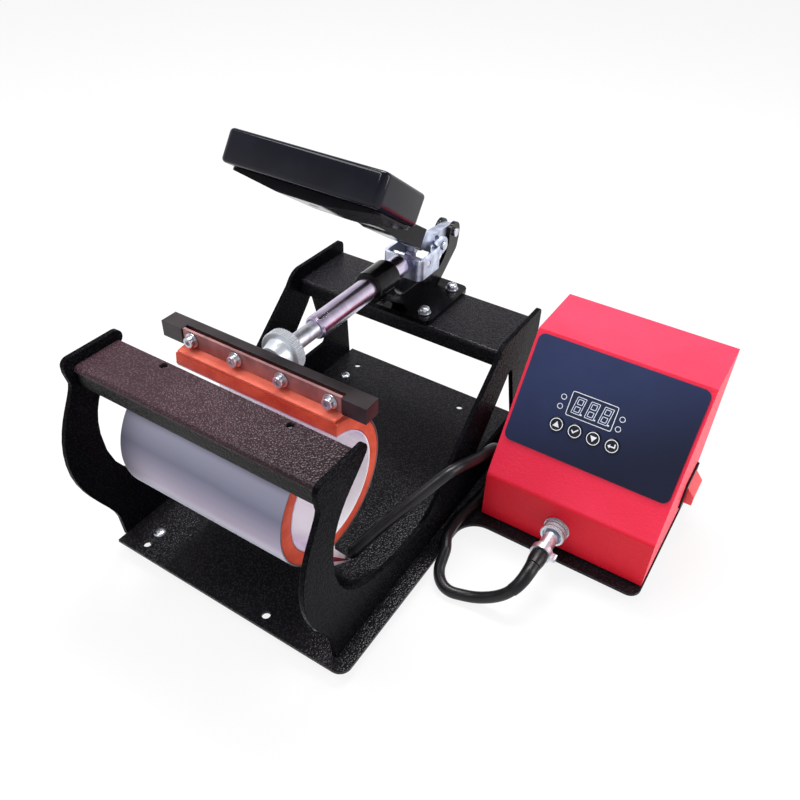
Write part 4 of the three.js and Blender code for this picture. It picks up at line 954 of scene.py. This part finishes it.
def openRing(layer, frontOffset, rearOffset):
    # a bar section, spun from the front opening round below to the rear one, with its edges eased
    inner, outer, edge = [wrapSet[layer + part] for part in ("Inner", "Outer", "Edge")]
    half = wrapSet["halfLength"]
    start = math.pi - math.acos(frontOffset / outer)
    end = math.acos(rearOffset / outer) + 2 * math.pi
    y0, z0 = wrapSet["centre"]
    bm = bmesh.new()
    corners = [
        bm.verts.new(place(x, y0 + r * math.cos(start), z0 + r * math.sin(start)))
        for x, r in ((-half, inner), (half, inner), (half, outer), (-half, outer))
    ]
    section = bm.faces.new(corners)
    bmesh.ops.spin(
        bm, geom=[section] + list(section.edges) + corners, cent=place(0, y0, z0), axis=(1, 0, 0),
        dvec=(0, 0, 0), angle=end - start, steps=wrapSet["steps"], use_merge=False, use_duplicate=False,
    )
    bmesh.ops.remove_doubles(bm, verts=bm.verts, dist=0.001 * mm)
    bmesh.ops.recalc_face_normals(bm, faces=bm.faces)
    bevelEdges(bm, sharpEdges(bm, wrapSet["rimAngle"]), edge)
    return bm


def wrapPiece(name, bm, material, replaced):
    piece = finishPiece(name, bm, material, None, wrapSet["smooth"], [replaced])
    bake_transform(piece)


def frontTab(bm):
    # the mat's front end, flat under the front bar
    half = wrapSet["halfLength"]
    low, high = [place(x, y, z) for x, y, z in zip((-half, half), wrapSet["tabY"], wrapSet["tabZ"])]
    matrix = Matrix.Translation((low + high) / 2) @ Matrix.Diagonal((*(high - low), 1))
    block = bmesh.ops.create_cube(bm, size=1, matrix=matrix)["verts"]
    bevelEdges(bm, list({e for v in block for e in v.link_edges}), wrapSet["tabEdge"])


def makeWrap():
    front = wrapSet["centre"][0] - wrapSet["frontBarRear"] + wrapSet["frontGap"]
    rear = wrapSet["rearOpening"]
    mat = openRing("mat", front, rear)
    frontTab(mat)
    wrapPiece("wrap_mat", mat, silicone, "heater_mat")
    sleeve = openRing("sleeve", wrapSet["sleeveFront"], wrapSet["sleeveRear"])
    wrapPiece("wrap_sleeve", sleeve, rolledSteel(), "heater_sleeve")
    wrapPiece("wrap_liner", openRing("liner", front, rear), coatedLiner(), "heater_liner")


makeWrap()


# The wrap's tail: three bonded layers with the spout that takes the cable

print("wrap tail")

tailSet = {
    "from": 50.65,
    "to": 72.65,
    "layerShares": [(0, 0.32), (0.34, 0.62), (0.64, 1)],    # from the front to the rear
    "toeShare": 0.04,
    "outline": [(-150, 51.9), (-150, 38.8), (-113.4, 13.4), (-134.6, 47), (-134.6, 51.2)],
    "sharpAngle": 40,
    "edge": 0.3,
    "smooth": 40,
    "spoutRadius": 5.1,
    "spoutTaper": [-0.3, 0, -0.5, -1.2, -2.2],
    "spoutLength": 7,
    "spoutGap": 0.3,
    "spoutSides": 28,
}


def tailLayer(name, low, high, material):
    # one layer across the tail's width, between two shares of the way from its front to its rear
    frontTop, front, tip, rear, rearTop = [Vector(p) for p in tailSet["outline"]]
    toe = tailSet["toeShare"]
    a, b = front.lerp(rear, low), front.lerp(rear, high)
    topA, topB = frontTop.lerp(rearTop, low), frontTop.lerp(rearTop, high)
    loop = [tip.lerp(a, toe), tip.lerp(b, toe), b, topB, topA, a]
    bm = bmesh.new()
    face = bm.faces.new([bm.verts.new(place(tailSet["from"], y, z)) for y, z in loop])
    moved = bmesh.ops.extrude_face_region(bm, geom=[face])["geom"]
    verts = [v for v in moved if isinstance(v, bmesh.types.BMVert)]
    bmesh.ops.translate(bm, verts=verts, vec=((tailSet["to"] - tailSet["from"]) * mm, 0, 0))
    bmesh.ops.recalc_face_normals(bm, faces=bm.faces)
    bevelEdges(bm, sharpEdges(bm, tailSet["sharpAngle"]), tailSet["edge"])
    return finishPiece(name, bm, material, "frame", tailSet["smooth"])


def makeTail():
    pale = mouldedSilicone("tail_layer_pale", srgb(240, 224, 232), srgb(216, 196, 208))
    deep = mouldedSilicone("tail_layer_deep", srgb(150, 34, 44), srgb(118, 22, 34))
    for i, ((low, high), material) in enumerate(zip(tailSet["layerShares"], (pale, deep, pale)), 1):
        layer = tailLayer(f"wrap_tail_layer_{i}", low, high, material)
        if i == 1:
            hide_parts("heater_terminal")
    before, last = [Vector(p) for p in cableSet["points"][-2:]]
    inward = (last - before).normalized()
    radii = [tailSet["spoutRadius"] + change for change in tailSet["spoutTaper"]]
    pitch = tailSet["spoutLength"] / (len(radii) - 1)
    route = [last + inward * (tailSet["spoutGap"] + k * pitch) for k in range(len(radii))]
    bm = tubeMesh(route, radii, tailSet["spoutSides"])
    finishPiece("wrap_tail_spout", bm, satinBlack, "frame", cableSet["smooth"])


makeTail()


# Screws with cross recesses

print("screws")

crossSet = {
    "width": 1.1,
    "reach": 2.7,
    "depth": 1.5,
    "domeShares": [(1, 0.35), (0.94, 0.6), (0.78, 0.83), (0.5, 0.96), (0, 1)],    # of radius and height
    "headSteps": 40,
    "shankSteps": 20,
    "smooth": 34,
}
boltSet = {
    "x": (-22.8, 22.8),
    "y": (69, 118),
    "flangeTop": 129.6,
    "barUnder": 122.6,
    "gap": 0.3,
    "headRadius": 4.6,
    "headLow": 2.6,
    "headHeight": 3.4,
    "washerRadius": 5.8,
    "washerEase": 0.2,
    "washerHeight": 1.2,
    "ringRadii": (2.6, 4.9),       # the spring washer
    "ringHeights": (1.3, 2.5),
    "shankRadius": 2.4,
    "shankBelow": 6,
    "shankGap": 0.1,
    "nutRadius": 4.6,
    "nutHeight": 4,
    "firstTurn": 25,
    "nextTurn": 31,
}
footScrewSet = {
    "spots": [(-82, -170), (82, -170), (-82, 94), (248, 108)],
    "headRadius": 5,
    "headLow": 0.3,
    "headHeight": 2.4,
    "shankRadius": 2,
    "shankLow": -10,
    "shankTop": 0.2,
    "firstTurn": 18,
    "nextTurn": 40,
}


def spun(bm, profile, centre, steps=crossSet["headSteps"]):
    # a half section turned round the upright line through centre
    chain = [bm.verts.new(place(centre[0] + r, centre[1], z)) for r, z in profile]
    edges = [bm.edges.new(pair) for pair in zip(chain, chain[1:])]
    bmesh.ops.spin(
        bm, geom=chain + edges, cent=place(*centre, 0), axis=(0, 0, 1), dvec=(0, 0, 0),
        angle=2 * math.pi, steps=steps, use_merge=True, use_duplicate=False,
    )
    bmesh.ops.remove_doubles(bm, verts=bm.verts, dist=0.005 * mm)


def shank(bm, centre, radius, low, high):
    spun(bm, [(0, low), (radius, low), (radius, high), (0, high)], centre, crossSet["shankSteps"])


def crossCutter(centre, topZ, turn):
    bm = bmesh.new()
    wide, reach, deep = crossSet["width"], 2 * crossSet["reach"], 2 * crossSet["depth"]
    spin = Matrix.Rotation(math.radians(turn), 4, "Z")
    for size in ((wide, reach, deep), (reach, wide, deep)):
        shape = Matrix.Diagonal((*[k * mm for k in size], 1))
        bmesh.ops.create_cube(bm, size=1, matrix=Matrix.Translation(place(*centre, topZ)) @ spin @ shape)
    return meshObject("cross_cutter", bm)


def carve(bm, cutter):
    blank = meshObject("carved", bm)
    cut = blank.modifiers.new("cut", "BOOLEAN")
    cut.operation = "DIFFERENCE"
    cut.solver = "EXACT"
    cut.use_self = True
    cut.object = cutter
    graph = bpy.context.evaluated_depsgraph_get()
    carved = bmesh.new()
    carved.from_mesh(blank.evaluated_get(graph).to_mesh())
    for scrap in (blank, cutter):
        bpy.data.objects.remove(scrap)
    return carved


def crossHead(centre, sizes, low, turn):
    # a low dome from its rim up to the middle, with a cross cut into it
    radius, height = sizes["headRadius"], sizes["headHeight"]
    dome = [(radius * r, low + height * h) for r, h in crossSet["domeShares"]]
    bm = bmesh.new()
    spun(bm, [(0, low), (radius, low)] + dome, centre)
    bmesh.ops.recalc_face_normals(bm, faces=bm.faces)
    return carve(bm, crossCutter(centre, low + height, turn))


def screwPiece(name, bm, replaced):
    bmesh.ops.recalc_face_normals(bm, faces=bm.faces)
    finishPiece(name, bm, zinc, "frame", crossSet["smooth"], [replaced])


def boltWasher(bm, centre, top):
    radius, high, eased = boltSet["washerRadius"], top + boltSet["washerHeight"], boltSet["washerEase"]
    spun(bm, [
        (0, top), (radius - eased, top), (radius, top + eased),
        (radius, high - eased), (radius - eased, high), (0, high),
    ], centre)
    inner, outer = boltSet["ringRadii"]
    low, high = [top + height for height in boltSet["ringHeights"]]
    spun(bm, [(inner, low), (outer, low), (outer, high), (inner, high), (inner, low)], centre)


def boltNut(bm, centre, top):
    radius, height = boltSet["nutRadius"] * mm, boltSet["nutHeight"]
    bmesh.ops.create_cone(
        bm, cap_ends=True, segments=6, radius1=radius, radius2=radius, depth=height * mm,
        matrix=Matrix.Translation(place(*centre, top - height / 2)),
    )


def makeToggleBolts():
    top = boltSet["flangeTop"] + boltSet["gap"]
    under = boltSet["barUnder"] - boltSet["gap"]
    spots = [(x, y) for y in boltSet["y"] for x in boltSet["x"]]
    for i, spot in enumerate(spots, 1):
        turn = boltSet["firstTurn"] + boltSet["nextTurn"] * i
        bolt = crossHead(spot, boltSet, top + boltSet["headLow"], turn)
        boltWasher(bolt, spot, top)
        shank(bolt, spot, boltSet["shankRadius"], under - boltSet["shankBelow"], top - boltSet["shankGap"])
        boltNut(bolt, spot, under)
        screwPiece(f"toggle_screw_{i}", bolt, f"toggle_bolt_{i}")


def makeFootScrews():
    for i, spot in enumerate(footScrewSet["spots"], 1):
        turn = footScrewSet["firstTurn"] + footScrewSet["nextTurn"] * i
        screw = crossHead(spot, footScrewSet, footScrewSet["headLow"], turn)
        shank(screw, spot, footScrewSet["shankRadius"], footScrewSet["shankLow"], footScrewSet["shankTop"])
        screwPiece(f"plate_screw_{i}", screw, f"foot_screw_{i}")


makeToggleBolts()
makeFootScrews()


# Print on the panel, on a flat drawing of the slope: across from the box's left, up from the fold

print("panel print")

panelSet = {
    "boxLeft": 129.6,
    "foldZ": 47.1,
    "ridgeZ": 156.4,
    "slopeDepth": 67,
    "printTop": 1.06,
    "inkDepth": 0.05,
    "smooth": 30,
    "window": (44.1, 70.9, 81.1, 90.3),
    "windowGap": 0.4,
    "windowCorner": 1.6,
    "windowStroke": 0.55,
    "backing": (30, 50, 97, 94),
    "backingCorner": 3,
    "backingTop": 0.04,            # low enough to leave the keys their travel
    "lamps": [(86.6, 82.8), (86.0, 74.6), (38.3, 83.4), (37.8, 75.4)],
    "lampRadius": 2.3,
    "lampStroke": 0.5,
}
digitSet = {
    "count": 3,
    "size": (6.1, 12.4),
    "left": 48.0,
    "low": 74.4,
    "pitch": 11.2,
    "segment": 1.6,
    "lean": 0.12,
    "stroke": 0.5,
    "corner": 0.6,
    "cornerSteps": 3,
    "dotGap": 1.6,
    "dotRadius": 0.7,
    "dotSides": 16,
}
keySet = {
    "across": [40.3, 55.6, 70.9, 86.2],
    "along": 60.8,
    "top": 1.94,
    "ringRadius": 5.2,
    "ringStroke": 0.6,
    "ringSides": 40,
    "marks": [       # each key's outlines from its middle: up, tick, down and return
        [[(-2.7, -1.9), (2.7, -1.9), (0, 2.7)]],
        [
            [(-2.8, 0), (-0.9, -2.1), (-0.9, -0.7), (-2.1, 0.7)],
            [(-0.9, -2.1), (2.9, 1.7), (2.2, 2.4), (-0.9, -0.7)],
        ],
        [[(-2.7, 1.9), (0, -2.7), (2.7, 1.9)]],
        [
            [(-3.2, -0.6), (-1.2, -2.2), (-1.2, 1.0)],
            [(-1.2, -1.1), (2.8, -1.1), (2.8, -0.1), (-1.2, -0.1)],
            [(1.8, -0.1), (2.8, -0.1), (2.8, 2.3), (1.8, 2.3)],
        ],
    ],
}


def slopeMatrix():
    slope = math.atan2(panelSet["ridgeZ"] - panelSet["foldZ"], panelSet["slopeDepth"])
    corner = place(panelSet["boxLeft"], 0, panelSet["foldZ"])
    return Matrix.Translation(corner) @ Matrix.Rotation(slope, 4, "X") @ Matrix.Scale(mm, 4)


def stamp(bm, corners, height, stroke=0):
    # a flat shape, or only its outline where a stroke is given
    face = bm.faces.new([bm.verts.new((x, y, height)) for x, y in corners])
    face.normal_update()
    if stroke:
        bmesh.ops.inset_individual(bm, faces=[face], thickness=stroke, use_even_offset=True)
        bmesh.ops.delete(bm, geom=[face], context="FACES")


def disc(x, y, radius, count=32):
    turns = [2 * math.pi * i / count for i in range(count)]
    return [(x + radius * math.cos(a), y + radius * math.sin(a)) for a in turns]


def roundedWindow(x0, y0, x1, y1, radius, count=6):
    corners = []
    for x, y, first in ((x1, y0, -90), (x1, y1, 0), (x0, y1, 90), (x0, y0, 180)):
        cx = x - math.copysign(radius, x - (x0 + x1) / 2)
        cy = y - math.copysign(radius, y - (y0 + y1) / 2)
        for k in range(count + 1):
            a = math.radians(first + 90 * k / count)
            corners.append((cx + radius * math.cos(a), cy + radius * math.sin(a)))
    return corners


def digitLoops(x, y):
    # a lit figure's edges: the outer one and its two windows
    w, h = digitSet["size"]
    t = digitSet["segment"] / 2
    for box in ((-t, -t, w + t, h + t), (t, t, w - t, h / 2 - t), (t, h / 2 + t, w - t, h - t)):
        loop = roundedWindow(*box, digitSet["corner"], digitSet["cornerSteps"])
        yield [(x + a + b * digitSet["lean"], y + b) for a, b in loop]


def printPiece(name, bm, body, material):
    bmesh.ops.recalc_face_normals(bm, faces=bm.faces)
    bmesh.ops.solidify(bm, geom=bm.faces, thickness=panelSet["inkDepth"])
    bmesh.ops.transform(bm, matrix=slopeMatrix(), verts=bm.verts)
    bmesh.ops.recalc_face_normals(bm, faces=bm.faces)
    finishPiece(name, bm, material, body, panelSet["smooth"])


def makeBacking():
    bm = bmesh.new()
    stamp(bm, roundedWindow(*panelSet["backing"], panelSet["backingCorner"]), panelSet["backingTop"])
    printPiece("panel_backing", bm, "frame", keyNavy)


def makeLines():
    bm = bmesh.new()
    top, gap = panelSet["printTop"], panelSet["windowGap"]
    x0, y0, x1, y1 = panelSet["window"]
    frameLoop = roundedWindow(x0 - gap, y0 - gap, x1 + gap, y1 + gap, panelSet["windowCorner"])
    stamp(bm, frameLoop, top, panelSet["windowStroke"])
    for x, y in panelSet["lamps"]:
        stamp(bm, disc(x, y, panelSet["lampRadius"]), top, panelSet["lampStroke"])
    printPiece("panel_print_lines", bm, "frame", printWhite)


def makeDigits():
    bm = bmesh.new()
    top, low = panelSet["printTop"], digitSet["low"]
    for i in range(digitSet["count"]):
        x = digitSet["left"] + i * digitSet["pitch"]
        for corners in digitLoops(x, low):
            stamp(bm, corners, top, digitSet["stroke"])
        dotX = x + digitSet["size"][0] + digitSet["dotGap"]
        stamp(bm, disc(dotX, low, digitSet["dotRadius"], digitSet["dotSides"]), top)
    printPiece("panel_print_numbers", bm, "frame", digitWhite)


def makeKeyMarks():
    y, top = keySet["along"], keySet["top"]
    for i, (x, mark) in enumerate(zip(keySet["across"], keySet["marks"]), 1):
        bm = bmesh.new()
        for corners in mark:
            stamp(bm, [(x + a, y + b) for a, b in corners], top)
        stamp(bm, disc(x, y, keySet["ringRadius"], keySet["ringSides"]), top, keySet["ringStroke"])
        printPiece(f"key_mark_{i}", bm, f"key_body_{i}", printWhite)


makeBacking()
makeLines()
makeDigits()
makeKeyMarks()


# Floor and light, in metres

print("stage")

stageSet = {
    "floorSize": 6.0,
    "floorWhite": 0.86,
    "floorGlow": 0.86,
    "lightWorld": 0.46,
    "zenith": 0.26,
    "ceilingFrom": 0.12,
    "ceilingTo": 0.8,
    "ceilingTint": (1.0, 0.93, 0.97, 1),
    "aim": (0, 0, 0.12),
    "lamps": {       # place, size and power
        "top_softbox": ((-0.25, 0.55, 1.5), (0.9, 0.4), 24),
        "right_softbox": ((1.3, 0.5, 0.7), (0.5, 0.9), 9),
        "key_softbox": ((-0.56, -0.43, 1.32), (1.1, 0.3), 9),
    },
}


def makeFloor():
    bm = bmesh.new()
    bmesh.ops.create_grid(bm, x_segments=1, y_segments=1, size=stageSet["floorSize"] / 2)
    floor = meshObject("floor", bm)
    s = Shader("pale_floor")
    white = stageSet["floorWhite"]
    matt = s.node("BsdfDiffuse", None, Color=(white, white, white, 1))
    glow = s.node("Emission", None, Color=(1, 1, 1, 1), Strength=1.0)
    ray = s.node("LightPath")
    seen = ray.other("Is Camera Ray").most(ray.other("Is Glossy Ray")).most(ray.other("Is Transmission Ray"))
    s.finish(s.node("MixShader", None, seen * stageSet["floorGlow"], matt, glow))
    floor.data.materials.append(s.owner)


def makeWorld():
    # white to the camera; mirrors see white walls and a dimmer ceiling
    world = bpy.data.worlds.new("studio")
    bpy.context.scene.world = world
    s = Shader("studio", world)
    up = s.node("SeparateXYZ", None, s.node("TexCoord", out="Generated")).other("Z")
    ceiling = up.step(stageSet["ceilingFrom"], stageSet["ceilingTo"])
    ray = s.node("LightPath")
    camera = ray.other("Is Camera Ray").most(ray.other("Is Transmission Ray"))
    glossy = ray.other("Is Glossy Ray") * (1 - camera)
    mirrored = 1 - ceiling * (1 - stageSet["zenith"])
    plainLight = (1 - camera.most(glossy)) * stageSet["lightWorld"]
    tint = s.mix(ceiling * glossy, (1, 1, 1, 1), stageSet["ceilingTint"])
    background = s.node("Background", None, Color=tint, Strength=camera + glossy * mirrored + plainLight)
    s.finish(background, "OutputWorld")


def makeLamp(name, at, size, power):
    data = bpy.data.lights.new(name, "AREA")
    data.shape = "RECTANGLE"
    data.size, data.size_y = size
    data.energy = power
    lamp = addObject(name, data)
    lamp.location = at
    lamp.rotation_euler = (Vector(stageSet["aim"]) - Vector(at)).to_track_quat("-Z", "Y").to_euler()


makeFloor()
makeWorld()
for lampName, lampValues in stageSet["lamps"].items():
    makeLamp(lampName, *lampValues)

bpy.context.scene.view_settings.view_transform = "Standard"
